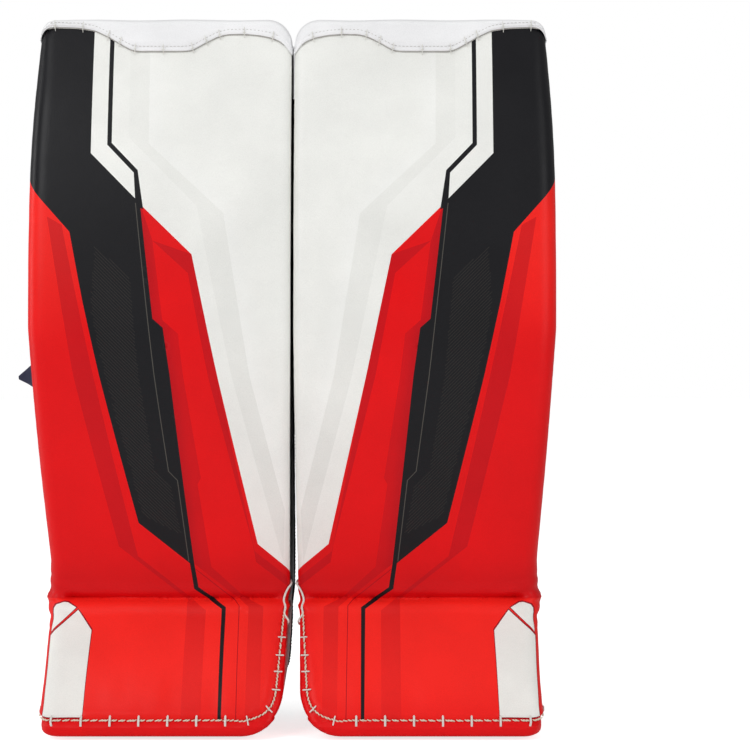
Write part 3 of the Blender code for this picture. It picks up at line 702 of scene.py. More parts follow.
def rounded_rectangle(low, high, y, draw, radius=0.012, steps=5, side_points=10):
    """A rectangle across y with rounded corners, drawn in by `draw`, as a closed ring of points."""
    x0, x1 = low.x + draw, high.x - draw
    z0, z1 = low.z + draw, high.z - draw
    r = max(radius - draw, 0.003)
    corners = ((x1 - r, z1 - r, 0), (x0 + r, z1 - r, 1), (x0 + r, z0 + r, 2), (x1 - r, z0 + r, 3))
    points = []
    for cx, cz, quarter in corners:
        arc = []
        for i in range(steps + 1):
            a = math.pi / 2 * (quarter + i / steps)
            arc.append(Vector((cx + r * math.cos(a), y, cz + r * math.sin(a))))
        if points:
            last = points[-1]
            points += [last.lerp(arc[0], k / side_points) for k in range(1, side_points)]
        points += arc
    last, first = points[-1], points[0]
    points += [last.lerp(first, k / side_points) for k in range(1, side_points)]
    return points


# ---- Printed skin, its colours with painted light and shade --------------------------------------
def mm(*pairs):
    return [(x / 1000, z / 1000) for x, z in pairs]


# Outlines of the print on the flat pattern, in millimetres from the pad's centreline and the floor.
BLACK_RIGHT = mm((-72.4, 762), (-72.6, 616.5), (-19.5, 562.5), (-5.4, 440.3), (5.4, 430.7), (12.4, 380),
                 (24.4, 267.4), (34.4, 176.0))
BLACK_LEFT = mm((29.4, 178.0), (-24.4, 222.5), (-62.2, 380), (-79.7, 460.6), (-93.6, 532.2), (-138.9, 583),
                (-168, 612), (-400, 632), (-400, 762))
THIN_LINE = mm((-55.5, 762), (-55.3, 625.5), (-26.6, 595.4), (-24.3, 560.0), (-16.0, 556.0), (-22.5, 598.2),
               (-50.6, 627.5), (-50.8, 762))
INNER_RED = mm((-19.2, 561.5), (35.5, 508.3), (62.4, 380.1), (103.0, 199.3), (134.5, 172.0), (180, 146),
               (400, 146), (400, -5), (-400, -5), (-400, 150), (0, 165), (30, 178))
BORDER_LINE = mm((-5.8, 522.8), (31.7, 488.5), (52.6, 380.1), (97.6, 199.3), (100.8, 179.4), (135.0, 152.0))
BORDER_GAP = mm((62.4, 380.1), (103.0, 199.3), (137.0, 170.5), (137.0, 161.0), (99.4, 191.3), (81.0, 285.0))
STRIP_LINE = mm((-5.8, 522.8), (4.9, 439.0), (21.2, 424.6), (26.4, 380.1), (43.4, 271.3), (39.8, 264.4),
                (52.4, 174.0), (87.4, 139.0))
OUTER_STRIPE = mm((-117.5, 548.3), (-101.9, 539.4), (-68.5, 380.1), (-26.4, 186.0), (46.5, 125.9),
                  (46.3, 13), (25.5, 13), (26.1, 137.5), (-46.4, 196.7), (-89.4, 380.1))
DARK_BAND = mm((34.0, 184.0), (51.0, 184.0), (52.4, 174.0), (87.4, 141.0), (108.4, 130.0), (92.5, 130.0),
               (82.0, 138.5), (34.6, 177.0))
BOOT_STRIPE = mm((92.5, 130.0), (108.4, 130.0), (108.4, 13), (92.8, 13))
BOOT_LINE = mm((27.9, 190.0), (29.4, 178.0), (33.2, 149.6), (63.5, 127.7), (64.2, 12), (67.8, 12),
               (68.0, 129.4), (38.0, 151.5), (34.4, 176.0), (32.9, 190.0))
GREY_LINE = mm((-24.3, 563), (-4.1, 380.1), (9.2, 278.5), (18.5, 268.6), (28.4, 180.0))
FAINT_LINE = mm((35.4, 171.5), (77.5, 137.0), (82.3, 131.0), (83.4, 13))
BADGE = mm((-91.1, 126.6), (-74.8, 105.1), (-77.6, 22.3), (-118.6, 22.3), (-119.4, 99.5))
BADGE_CORNER = mm((-115.5, 129.0), (-113.0, 132.4), (-106.5, 135.2), (-103.0, 134.8), (-93.4, 129.2),
                  (-118.8, 103.4))
FACET_1 = mm((-33.1, 762), (-32.5, 633.5), (40.3, 559.8), (77.4, 380.1), (115.7, 236.2), (130.2, 179.4))
FACET_2 = mm((-12.3, 762), (-11.3, 627.0), (68.7, 552.2), (96.5, 380.1), (132.6, 236.2))
HATCH = mm((-70, 520), (-29.2, 485.9), (-19.9, 380.1), (-3.4, 272.6), (12.0, 262.3), (21.7, 208.6),
           (-22, 232), (-58, 380.1), (-73, 450))


def inside(outline, u, v):
    hit = False
    j = len(outline) - 1
    for i in range(len(outline)):
        (x0, y0), (x1, y1) = outline[i], outline[j]
        if (y0 > v) != (y1 > v) and u < (x1 - x0) * (v - y0) / (y1 - y0) + x0:
            hit = not hit
        j = i
    return hit


def thick_line(line, width):
    """A polyline widened into an outline."""
    left, right = [], []
    for i, (x, y) in enumerate(line):
        x0, y0 = line[max(i - 1, 0)]
        x1, y1 = line[min(i + 1, len(line) - 1)]
        dx, dy = x1 - x0, y1 - y0
        n = math.hypot(dx, dy)
        left.append((x - dy / n * width / 2, y + dx / n * width / 2))
        right.append((x + dy / n * width / 2, y - dx / n * width / 2))
    return left + right[::-1]


def hatch_lines():
    """Fine 45-degree lines inside the black panel."""
    lines = []
    step = 0.0036
    for k in range(-40, 170):
        offset = 0.150 + k * step
        run = []
        t = -0.090
        while t < 0.040:
            v = offset - t
            if inside(HATCH, t, v):
                run.append((t, v))
            t += 0.0015
        if len(run) > 5:
            shorten = int(4 * (0.5 + 0.5 * noise.noise(Vector((k * 0.73, 0.2, 0.9)))))
            run = run[shorten:]
            lines.append((run[0], run[-1]))
    return lines


def mixed(a, b, t):
    return tuple(lerp(x, y, t) for x, y in zip(a, b))


def white_shade(u, v):
    """White, with a painted highlight beside the second embossed facet line."""
    # painted highlight beside the embossed facet line
    facet_highlight = 1.0 - clamp01(distance_to(FACET_2, u, v) / 0.022)
    return mixed(WHITE, (0.93, 0.935, 0.91), 0.5 * facet_highlight)


def red_shade(u, v):
    """Red with painted light and shade: lit bright on the boot, which faces up to the top light, less so by
    the toe seam and at its sides, and lit high on the outer side; painted shade deepens it down the shin to
    the boot break.
    """
    if v < FOLD_V:
        # painted light on the boot, less of it by the toe seam and at the boot's sides
        less_lit = 0.5 * bell(v - SEAM_V, 0.020) + 0.5 * smooth((abs(u) - 0.100) / 0.03)
        return mixed(RED, LIT_RED, 1 - less_lit)
    # painted light high on the outer side
    glow = smooth((v - 0.380) / 0.150) * smooth((-0.060 - u) / 0.040)
    # painted shade down the shin to the boot break
    low = bell(v - 0.150, 0.030)
    return mixed(mixed(RED, LIT_RED, 0.8 * glow), SHADED_RED, 0.40 * low)


def plain(colour):
    return lambda u, v: colour


def darker(share):
    return lambda u, v: mixed(red_shade(u, v), DARK_RED, share)


def facet_shade(u, v):
    """Painted shade on the middle embossed facet, stronger down the shin."""
    return mixed(WHITE, (0.80, 0.805, 0.77), lerp(0.25, 0.8, smooth((0.70 - v) / 0.5)))


def strip_shade(u, v):
    """The dark strip beside the black panel, darkest along the panel's edge."""
    dark = lerp(0.68, 0.40, smooth(distance_to(BLACK_RIGHT, u, v) / 0.013))
    return mixed(red_shade(u, v), DARK_RED, dark)


def stripe_shade(u, v):
    """The dark stripes fade towards the toe."""
    strength = 0.48 if v > 0.145 else lerp(0.16, 0.36, clamp01((v - 0.02) / 0.115))
    return mixed(red_shade(u, v), DARK_RED, strength)


PRINT = []  # (outline, colour function), the last one that holds a point wins


def layer(outline, shade):
    PRINT.append((outline, shade))


layer(mm((-400, -5), (400, -5), (400, 770), (-400, 770)), white_shade)
layer(FACET_1 + FACET_2[::-1], facet_shade)
layer(INNER_RED, red_shade)
layer(BORDER_LINE + INNER_RED[4:0:-1], darker(0.50))
layer(BORDER_GAP, darker(0.12))
layer(STRIP_LINE[:-2] + [(0.0510, 0.1840), (0.0338, 0.1840)] + BLACK_RIGHT[-2:1:-1], strip_shade)
layer(DARK_BAND, strip_shade)
layer([(0.150, SEAM_V - 0.004)] + seam_corner_uv[:-1] + [(0.170, 0.116)], plain(RED))
layer(BLACK_LEFT[::-1][2:] + [(0.0344, 0.1750), (0.033, 0.140), (-0.400, 0.140), (-0.400, 0.632)],
      red_shade)
layer(BLACK_RIGHT + BLACK_LEFT, plain(BLACK))
layer(THIN_LINE, plain(BLACK))
layer(OUTER_STRIPE, stripe_shade)
layer(BOOT_STRIPE, stripe_shade)
layer(thick_line(GREY_LINE, 0.0009), plain((0.085, 0.080, 0.070)))
layer(thick_line(FAINT_LINE, 0.0008), plain(DARK_RED))
layer(BOOT_LINE, plain(BLACK))


def grown(outline, by):
    cx = sum(x for x, _ in outline) / len(outline)
    cz = sum(z for _, z in outline) / len(outline)
    out = []
    for x, z in outline:
        d = math.hypot(x - cx, z - cz)
        out.append((x + (x - cx) / d * by, z + (z - cz) / d * by))
    return out


for shape in (BADGE, BADGE_CORNER):
    layer(grown(shape, 0.0016), plain((0.30, 0.003, 0.012)))
    layer(shape, plain((0.88, 0.88, 0.84)))


SIDE_DARK = (0.045, 0.045, 0.050)
SIDE_SEAM = 0.013  # where the dark inner side starts, behind the face
HATCH_DARK = (0.040, 0.036, 0.032)


def skin_mesh():
    """The print as a triangulated sheet: a grid of points plus the outlines of the print, so that
    each colour ends on an edge of the mesh, laid on the pad's front and both sides."""
    rows = [SEAM_V + 0.0001]
    v = SEAM_V
    while v < SHIN_TOP_Z - 0.003:
        near = abs(v - FOLD_V)
        v += 0.0008 if near < 0.005 else 0.0014 if near < 0.012 else 0.0026 if near < 0.030 else 0.0046
        rows.append(min(v, SHIN_TOP_Z))
    borders = []
    for v in rows:
        s = station(v)
        borders.append((u_at_depth(s, side_end(s), -1), u_at_depth(s, side_end(s), 1)))
    domain = [(low, v) for (low, _), v in zip(borders, rows)]
    domain += [(high, v) for (_, high), v in list(zip(borders, rows))[::-1]]

    points, edges = [], []

    def add_line(line, closed):
        """A constraint line cut into short steps."""
        pts = resample(line + line[:1] if closed else line, 0.0045)
        if closed:
            pts.pop()
        first = len(points)
        points.extend(pts)
        edges.extend((first + i, first + i + 1) for i in range(len(pts) - 1))
        if closed:
            edges.append((first + len(pts) - 1, first))

    add_line(domain, True)
    seam = [(u_at_depth(station(v), min(SIDE_SEAM, side_end(station(v)) - 0.004), 1), v)
            for v in rows if v >= FOLD_V]
    add_line(seam, False)
    for outline, _ in PRINT[1:]:
        clipped = [(min(max(x, -0.420), 0.420), z) for x, z in outline]
        add_line(clipped, True)
    marks = []
    for a, b in hatch_lines():
        marks.append(thick_line([a, b], 0.00045))
        add_line(marks[-1], True)

    cell = 0.0013
    taken = {(round(p.x / cell), round(p.y / cell)) for p in points}
    for (low, high), v in zip(borders, rows):
        n = max(8, round((high - low) / 0.0048))
        for i in range(1, n):
            u = lerp(low, high, i / n)
            key = (round(u / cell), round(v / cell))
            if any((key[0] + i2, key[1] + j2) in taken for i2 in (-1, 0, 1) for j2 in (-1, 0, 1)):
                continue
            points.append(Vector((u, v)))

    verts, _, faces, *_ = delaunay_2d_cdt(points, edges, [], 0, 1e-6)
    seam_v = np.array([v for _, v in seam])
    seam_u = np.array([u for u, _ in seam])
    row_v = np.array(rows)
    low_u = np.array([b[0] for b in borders])
    high_u = np.array([b[1] for b in borders])

    bm = bmesh.new()
    tint = bm.loops.layers.float_color.new("Tint")
    made = {}
    for face in faces:
        cu = sum(verts[i][0] for i in face) / len(face)
        cv = sum(verts[i][1] for i in face) / len(face)
        if not rows[0] <= cv <= rows[-1]:
            continue
        if not np.interp(cv, row_v, low_u) < cu < np.interp(cv, row_v, high_u):
            continue
        shade = None
        if cv > FOLD_V and cu > np.interp(cv, seam_v, seam_u):
            shade = plain(SIDE_DARK)
        else:
            for mark in marks:
                if abs(mark[0][1] - cv) < 0.08 and inside(mark, cu, cv):
                    shade = plain(HATCH_DARK)
                    break
        if shade is None:
            for outline, found in reversed(PRINT):
                if inside(outline, cu, cv):
                    shade = found
                    break
        for i in face:
            if i not in made:
                u, v = verts[i]
                made[i] = bm.verts.new(skin_point(u, v))
        try:
            f = bm.faces.new([made[i] for i in face])
        except ValueError:
            continue
        for loop, i in zip(f.loops, face):
            u, v = verts[i]
            loop[tint] = (*shade(lerp(u, cu, 0.02), lerp(v, cv, 0.02)), 1)
    bmesh.ops.recalc_face_normals(bm, faces=bm.faces)
    bm.faces.ensure_lookup_table()
    front = min(bm.faces, key=lambda f: f.calc_center_median().y)
    if front.normal.y > 0:
        bmesh.ops.reverse_faces(bm, faces=bm.faces)
    return bm


def solid(bm, thickness):
    """Gives a sheet its thickness, inward."""
    mesh = bpy.data.meshes.new("sheet")
    bm.to_mesh(mesh)
    bm.free()
    obj = bpy.data.objects.new("sheet", mesh)
    bpy.context.scene.collection.objects.link(obj)
    modifier = obj.modifiers.new("thickness", "SOLIDIFY")
    modifier.thickness = thickness
    modifier.offset = -1
    graph = bpy.context.evaluated_depsgraph_get()
    made = bpy.data.meshes.new_from_object(obj.evaluated_get(graph), depsgraph=graph)
    bpy.data.objects.remove(obj)
    made.shade_smooth()
    made.set_sharp_from_angle(angle=math.radians(60))
    return made


FLEX = ("boot", (0, 0.066, CREASE_Z + 0.022), (0, 0.066, CREASE_Z - 0.026))
emit("pad_skin", solid(skin_mesh(), 0.0012), "shin", print_and_painted_light,
     ("face_skin", "inner_side_skin", "boot_skin", "ankle_gusset"), FLEX)


# ---- Top cap -------------------------------------------------------------------------------------
CAP_EDGE = mm((-139, 738), (-133.5, 748), (-128.3, 753.8), (-115, 755.4), (-90.5, 754.6), (-72, 751.7),
              (-55.5, 743.6), (-40, 734), (-31, 729.3), (-24, 728.4), (24, 728.4), (33, 729.3),
              (50.6, 739.6), (60, 744.4), (70, 747.2), (86.8, 747.7), (104, 746.3), (118.1, 743.4),
              (128, 739.0), (135, 732), (141, 722))


def cap_edge_z(x):
    """Lower edge of the cap's front flap, shallow at the sides with a tongue in the middle."""
    total = 0.0
    for shift in (-0.003, -0.0015, 0.0, 0.0015, 0.003):
        total += float(np.interp(x + shift, [p[0] for p in CAP_EDGE], [p[1] for p in CAP_EDGE]))
    return total / 5


def plan_round(x, z):
    """How far the face has curved back at x, where the section's front corners are rounded."""
    limit = 0.4 * (WALL_BACK - front_y(z))
    curve = 0.0
    for edge, radius in ((x - outer_edge(z), OUTER_RADIUS), (inner_edge(z) - x, INNER_RADIUS)):
        r = min(radius, limit)
        curve = max(curve, r - math.sqrt(r**2 - min(max(r - max(edge, 0.0), 0.0), r) ** 2))
    return curve


def top_drop(x):
    drop = 0.0
    for edge, r in ((x - outer_edge(PAD_HEIGHT), TOP_OUTER_RADIUS),
                    (inner_edge(PAD_HEIGHT) - x, TOP_INNER_RADIUS)):
        drop = max(drop, r - math.sqrt(max(r**2 - max(r - edge, 0.0) ** 2, 0.0)))
    return drop


CAP_PROUD = 0.0042
CAP_BACK_Y = WALL_BACK + 0.0045


def cap_profile(x):
    """The cap's closed section at x: front flap, rolled top, padded back flap, and the inside."""
    top = PAD_HEIGHT - top_drop(x) + 0.0005 * math.sin(x * 60)
    under = top - CAP_TOP + 0.0012
    lip = min(cap_edge_z(x), under - 0.003)
    roll = min(0.011, (top - lip) * 0.6)

    def face(z):
        return front_y(z) + plan_round(x, z)

    proud = CAP_PROUD - 0.0008
    points = [(face(lip) + 0.0006, lip + 0.0016), (face(lip) - 0.0010, lip + 0.0002),
              (face(lip) - 0.0024, lip - 0.0002), (face(lip) - proud + 0.0002, lip + 0.0009)]
    flap_top = top - roll
    for k in range(1, 8):
        z = lerp(lip + 0.0012, flap_top, k / 7)
        seam = 0.0011 * math.exp(-(((z - lip - 0.0048) / 0.0013) ** 2))
        points.append((face(z) - proud - 0.0014 * math.sin(math.pi * k / 7) + seam, z))
    front = face(flap_top) - proud
    deep = 0.017
    for k in range(1, 7):
        a = math.pi / 2 * k / 6
        points.append((front + deep * (1 - math.cos(a)), flap_top + roll * math.sin(a)))
    back_roll = 0.014
    start = front + deep
    for k in range(1, 5):
        t = k / 5
        points.append((lerp(start, CAP_BACK_Y - back_roll, t), top + 0.0011 * math.sin(math.pi * t)))
    for k in range(6):
        a = math.pi / 2 * k / 5
        points.append((CAP_BACK_Y - back_roll * (1 - math.sin(a)), top - back_roll * (1 - math.cos(a))))
    for k in range(1, 9):
        z = lerp(top - back_roll, CAP_BACK_Z + 0.006, k / 9)
        points.append((CAP_BACK_Y + 0.0022 * math.sin(math.pi * k / 9), z))
    inside_back = WALL_BACK - BINDING + 0.0006
    thick = CAP_BACK_Y - inside_back
    for k in range(7):
        a = math.pi * k / 6
        y = inside_back + thick / 2 * (1 + math.cos(a))
        points.append((y, CAP_BACK_Z + 0.0062 - 0.0066 * math.sin(a)))
    points.append((inside_back, lerp(CAP_BACK_Z, under, 0.5)))
    points.append((inside_back, under))
    points.append((face(under) + 0.0006, under))
    return [Vector((x, y, z)) for y, z in points]


def cap_columns():
    left, right = outer_edge(PAD_HEIGHT), inner_edge(PAD_HEIGHT)
    outer = [left + TOP_OUTER_RADIUS * (1 - math.cos(math.pi / 2 * k / 9)) for k in range(9)]
    inner = [right - TOP_INNER_RADIUS * (1 - math.cos(math.pi / 2 * k / 12)) for k in range(12)][::-1]
    low, high = left + TOP_OUTER_RADIUS, right - TOP_INNER_RADIUS
    return outer + spread(low, high, 64) + inner


def inset_ring(ring, by):
    """A closed outline in a plane across x, drawn in by a small distance."""
    area = sum(p.y * q.z - q.y * p.z for p, q in zip(ring, ring[1:] + ring[:1]))
    out = []
    for i, p in enumerate(ring):
        along = (ring[(i + 1) % len(ring)] - ring[i - 1]).normalized()
        inward = Vector((0, -along.z, along.y)) * (1 if area > 0 else -1)
        out.append(p + inward * by)
    return out


def rounded_end_loft(rings):
    """A loft whose two ends are eased in a little, so that no end is a hard flat cut."""
    ends = []
    for ring, way in ((rings[0], -1), (rings[-1], 1)):
        ends.append([p + Vector((way * 0.0010, 0, 0)) for p in inset_ring(ring, 0.0009)])
    return loft([ends[0]] + rings + [ends[1]])


emit("cap", mesh_from(rounded_end_loft([cap_profile(x) for x in cap_columns()]), 50), "shin",
     white_leather, ("top_cap",))


def cap_face_point(x, above, lift=0.0):
    """A point on the cap's front flap, this far above its edge, and the way out of it there."""
    z = cap_edge_z(x) + above
    y = front_y(z) + plan_round(x, z) - (CAP_PROUD if above > 0.0005 else 0.0)
    return Vector((x, y - lift, z))


def cap_stitching():
    bm = bmesh.new()
    path, normals = [], []
    x = -0.120
    while x < 0.131:
        path.append(cap_face_point(x, 0.0048, -0.0006))
        normals.append(Vector((0, -1, 0.12)).normalized())
        x += 0.003
    stitch_line(bm, path, normals, 0.0024, 0.0017, 0.00024)
    return bm


def cap_cross_stitches():
    bm = bmesh.new()
    for x in (-0.1147, -0.0847, -0.0570, -0.0445, -0.0280, 0.0023, 0.0338, 0.0482, 0.0623, 0.0888, 0.1194):
        slope = (cap_edge_z(x + 0.004) - cap_edge_z(x - 0.004)) / 0.008
        lean = Vector((-slope * 0.5, 0, 1)).normalized()
        middle = cap_face_point(x, 0.0008, 0.0006)
        out = Vector((0, -1, 0.1)).normalized()
        low = middle - lean * 0.0050
        low.y = front_y(low.z) + plan_round(low.x, low.z) - 0.0002
        high = middle + lean * 0.0064
        line = (low, low.lerp(middle, 0.6), middle, middle.lerp(high, 0.6), high)
        proud = (0.0, 0.0012, 0.0006, 0.0003, -0.0010)
        cord([p - Vector((0, off, 0)) for p, off in zip(line, proud)], 0.00052, bm, 6)
        across = Vector((1, 0, slope)).normalized()
        bar = middle + out * 0.0005
        stitch(bm, bar - across * 0.0017, bar + across * 0.0017, out, 0.0004)
    return bm


emit("cap_stitching", mesh_from(cap_stitching()), "shin", thread_grey)
emit("cap_cross_stitches", mesh_from(cap_cross_stitches()), "shin", thread_white)

lace_path = []
for k in range(233):
    x = -0.124 + 0.0011 * k
    z = cap_edge_z(x)
    lace_path.append(Vector((x, front_y(z) + plan_round(x, z) - 0.0010, z - 0.0006)))
emit("cap_lace", mesh_from(twisted_cord(lace_path, 0.00085, 0.005, sides=5)), "shin", thread_grey,
     ("top_lacing",))


# ---- Toe: the rolled rim, the seam's cord and its whip stitches ----------------------------------
def sole_station(drop):
    seam = boot_station(1.0)
    share = drop / SOLE_THICK
    return Station(seam.y + seam.dz * drop, seam.z - seam.dy * drop, seam.dy, seam.dz, seam.outer,
                   BOOT_INNER - toe_inset(SOLE_THICK * (1 - share)), seam.depth)


def channel(s, grow, wall_depth, arc=5):
    """The leg channel's outline from the outer wall to the inner wall, `grow` off the foam."""
    left, right = s.outer + WALL_OUT + grow, s.inner - WALL_IN - grow
    mid = min(MID_THICKNESS, wall_depth - 0.012) + grow
    f = max(min(0.012, (wall_depth - mid) * 0.7), 0.002)
    points = [(left, wall_depth + grow)]
    for x, way in ((left + f, -1), (right - f, 1)):
        turn = [math.pi / 2 * k / arc for k in range(arc + 1)]
        if way < 0:
            points += [(x - f * math.cos(a), mid + f - f * math.sin(a)) for a in turn]
            points += [(lerp(left + f, right - f, k / 8), mid) for k in range(1, 8)]
        else:
            points += [(x + f * math.sin(a), mid + f - f * math.cos(a)) for a in turn]
    points.append((right, wall_depth + grow))
    return points


RIM_HEIGHT = SEAM_V - SOLE_Z + SOLE_THICK


def rim_section(share):
    """The rim's section at share of its height below the seam."""
    drop = share * RIM_HEIGHT
    if drop < SEAM_V - SOLE_Z:
        return station(SEAM_V - drop)
    return sole_station(drop - (SEAM_V - SOLE_Z))


def rim_out(share, u):
    """How far the rolled rim stands off its section."""
    bulge = 0.0030 * math.sin(math.pi * clamp01(share * 1.04)) ** 0.55 - 0.0012
    bulge = lerp(bulge, RIM_SWELL, smooth((u - seam_corner_uv[0][0]) / 0.008) * (1 - smooth(share / 0.4)))
    under = 0.0060 * max(0.0, share - 0.70) ** 2 / 0.30**2
    return bulge - under + 0.0005 * math.sin(u * 215 + 0.5) * (1 - share)


def rim_point(u, share, lift=0.0):
    s = rim_section(share)
    x, d, nx, nd = wrapped(s, u)
    out = rim_out(share, u) + lift
    return s.at(x + nx * out, d + nd * out)


def toe_rim():
    """A soft roll round the bottom of the boot: toe, both side walls and the channel between them."""
    rings = []
    for k in range(19):
        share = k / 18
        s = rim_section(share)
        depth = s.depth - 0.002
        low, high = u_at_depth(s, depth, -1), u_at_depth(s, depth, 1)
        ring = []
        for i in range(121):
            u = lerp(low, high, i / 120)
            tail = smooth((min(u - low, high - u) - 0.012) / 0.006)
            ring.append(rim_point(u, share, (tail - 1) * (rim_out(share, u) + 0.0006)))
        ring += [s.at(x, d) for x, d in channel(s, 0.0, depth)[::-1]]
        rings.append(ring)
    return loft(rings)


emit("toe_rim", mesh_from(toe_rim(), 55), "boot", red_leather, ("toe_binding",))


def seam_path():
    """The sole seam on the pattern: up the outer side wall, across the toe, up the inner corner."""
    v = SEAM_V + 0.0008
    sole = station(v)
    turn = spline([(0.060, v), (0.080, v)] + seam_corner_uv)
    start = u_at_depth(sole, 0.122, -1)
    path = [(u, v) for u in spread(start, 0.058, 100)]
    return path + [(p.x, p.y) for p in turn]


def seam_cord():
    """The seam's lacing: short slanting turns of cord, side by side along the seam."""
    marks = [skin_point(u, v, 0.0022) for u, v in seam_path()]
    outward = [skin_normal(u, v) for u, v in seam_path()]
    bm = bmesh.new()
    run, k = 0.0, 0
    step = 0.0042
    for a, b, n in zip(marks, marks[1:], outward):
        run += (b - a).length
        if run < step * k:
            continue
        k += 1
        along = (b - a).normalized()
        up = n.cross(along).normalized()
        if up.z < 0 and abs(along.x) > 0.5:
            up = -up
        middle = (a + b) / 2
        slant = along * 0.0022 + up * 0.0007
        path = [middle - slant - n * 0.0008, middle - slant * 0.55 + n * 0.0001, middle + n * 0.0004,
                middle + slant * 0.55 + n * 0.0001, middle + slant - n * 0.0008]
        cord(path, 0.00078, bm, 7)
    return bm


def whip_stitches():
    """White whip stitches over the seam: two strands each, from the boot's skin down on to the rim."""
    bm = bmesh.new()
    v = SEAM_V + 0.0008
    sole = station(v)
    spots = [-0.1085, -0.0782, -0.0480, -0.0180, 0.0122, 0.0424, 0.0726]
    spots += [u_at_depth(sole, d, -1) for d in (0.030, 0.059, 0.088, 0.112)]
    for u in spots:
        n = skin_normal(u, v)
        side = (skin_point(u + 0.001, v) - skin_point(u - 0.001, v)).normalized()
        up, down = skin_point(u, v + 0.0042, 0.0006), rim_point(u, 0.20, 0.0004)
        middle = (up + down) / 2 + n * 0.0019
        for shift in (-0.00048, 0.00048):
            way = side * shift
            line = [up - n * 0.0014 + UP * 0.0006, up, middle, down, down - n * 0.0014 - UP * 0.0008]
            cord([p + way * (1.0 if i in (1, 2, 3) else 0.2) for i, p in enumerate(line)], 0.00068, bm, 7)
    seam = seam_path()
    for h in (0.0196, 0.0300, 0.0470, 0.0640, 0.0800, 0.0970):
        k = min(range(102, len(seam) - 1), key=lambda i: abs(seam[i][1] - h))
        u, v = seam[k]
        across = Vector((seam[k - 1][1] - seam[k + 1][1], seam[k + 1][0] - seam[k - 1][0], 0)).normalized()
        n = skin_normal(u, v)
        ends = [(u + across.x * w, v + across.y * w) for w in (0.0042, -0.0040)]
        a, b = (skin_point(*end, 0.0004) for end in ends)
        m = skin_point(u, v, 0.0040)
        cord([a - n * 0.0014, a, m, b, b - n * 0.0014], 0.0008, bm, 7)
    return bm


def lace_loop():
    """A loose loop of lace at the inner end of the boot break, out of the side and back in."""
    spots = [(0.158, -0.006), (0.1545, 0.0002), (0.150, 0.0030), (0.144, 0.0052), (0.137, 0.0050),
             (0.130, 0.0036), (0.122, 0.0018), (0.115, 0.0002), (0.110, -0.006)]
    path = []
    for v, inset in spots:
        s = station(v)
        u = corner_u(s, max(inset, 0.0)) - min(inset, 0.0)
        path.append(skin_point(u, v, 0.0016 if inset > 0 else 0.0006))
    return cord(spline(path, 6), 0.00115)


emit("toe_seam_cord", mesh_from(seam_cord()), "boot", lace_cream, ("toe_lacing",))
emit("toe_whip_stitches", mesh_from(whip_stitches()), "boot", thread_white)
emit("boot_break_lace", mesh_from(lace_loop()), "shin", thread_white, blend=FLEX)


# ---- Edge bindings and the channel's lining ------------------------------------------------------
def shin_to_boot_rows(top, low_t=1.0):
    rows = []
    v = top
    floor = BOOT_TOP_Z - low_t * (BOOT_TOP_Z - SOLE_Z)
    while v > floor:
        rows.append(v)
        v -= 0.0030 if abs(v - FOLD_V) < 0.03 else 0.0075
    return rows + [floor]


def edge_binding(side):
    """Folded tape over a wall's back edge: one leg on the side, one on the back, down over the rim."""
    rings = []
    sections = [(v, station(v)) for v in shin_to_boot_rows(CAP_BACK_Z - 0.001, 0.985)]
    sections += [(SOLE_Z - drop, sole_station(drop)) for drop in (0.0025, 0.0060, 0.0095, 0.0125)]
    for v, s in sections:
        d = s.depth
        edge = s.outer if side < 0 else s.inner
        bow = 0.0003 * math.sin(v * 240)
        path = [(-0.0010, d - 0.0112), (-0.0016 - bow, d - 0.0070), (-0.0014, d - 0.0030),
                (-0.0006, d - 0.0004), (0.0014, d + 0.0010), (0.0045, d + 0.0016),
                (0.0100, d + 0.0014 + bow), (0.0140, d + 0.0006), (0.0140, d - 0.0020),
                (0.0040, d - 0.0024), (0.0022, d - 0.0042), (0.0012, d - 0.0112)]
        rings.append([s.at(edge - side * x, depth) for x, depth in path])
    return loft(rings)


def binding_stitches(side):
    bm = bmesh.new()
    for depth_in, leg in ((0.0095, "side"), (0.0, "back")):
        path, normals = [], []
        for v in shin_to_boot_rows(CAP_BACK_Z - 0.004, 0.97):
            s = station(v)
            edge = s.outer if side < 0 else s.inner
            if leg == "side":
                path.append(s.at(edge + side * 0.0013, s.depth - depth_in))
                normals.append(Vector((side, 0, 0)))
            else:
                path.append(s.at(edge - side * 0.0120, s.depth + 0.0013))
                normals.append(Vector((0, s.dy, s.dz)))
        stitch_line(bm, path, normals, 0.0028, 0.0016, 0.0003)
    return bm


for side, label in ((-1, "outer"), (1, "inner")):
    emit(f"{label}_edge_binding", mesh_from(edge_binding(side), 60), "shin", black_leather,
         (f"{label}_binding", f"boot_{label}_binding"), FLEX)
    emit(f"{label}_binding_stitches", mesh_from(binding_stitches(side)), "shin", thread_black, (), FLEX)


def liner():
    """The channel's brushed lining, lightly quilted across the shin, over the floor and both walls."""
    rings = []
    for v in shin_to_boot_rows(CAP_BACK_Z - 0.0015, 0.97):
        s = station(v)
        depth = s.depth - 0.0027
        far_grow = 0.0038
        quilt = 0.0016 * (abs(math.sin(math.pi * (v - 0.02) / 0.058)) ** 0.5 - 1.0)
        near, far = (
            [(s.outer + 0.0145, depth + lip)] + channel(s, grow, depth) + [(s.inner - 0.0145, depth + lip)]
            for grow, lip in ((0.0012, 0.0005), (far_grow, 0.0027))
        )
        mid = min(MID_THICKNESS, depth - 0.012) + far_grow
        soft = []
        for x, d in far:
            share = clamp01(1 - abs(d - mid) / 0.004)
            soft.append((x, d + share * (quilt + 0.0014)))
        rings.append([s.at(x, d) for x, d in near + soft[::-1]])
    return loft(rings)


emit("channel_liner", mesh_from(liner(), 60), "shin", black_knit, ("back_liner",), FLEX)


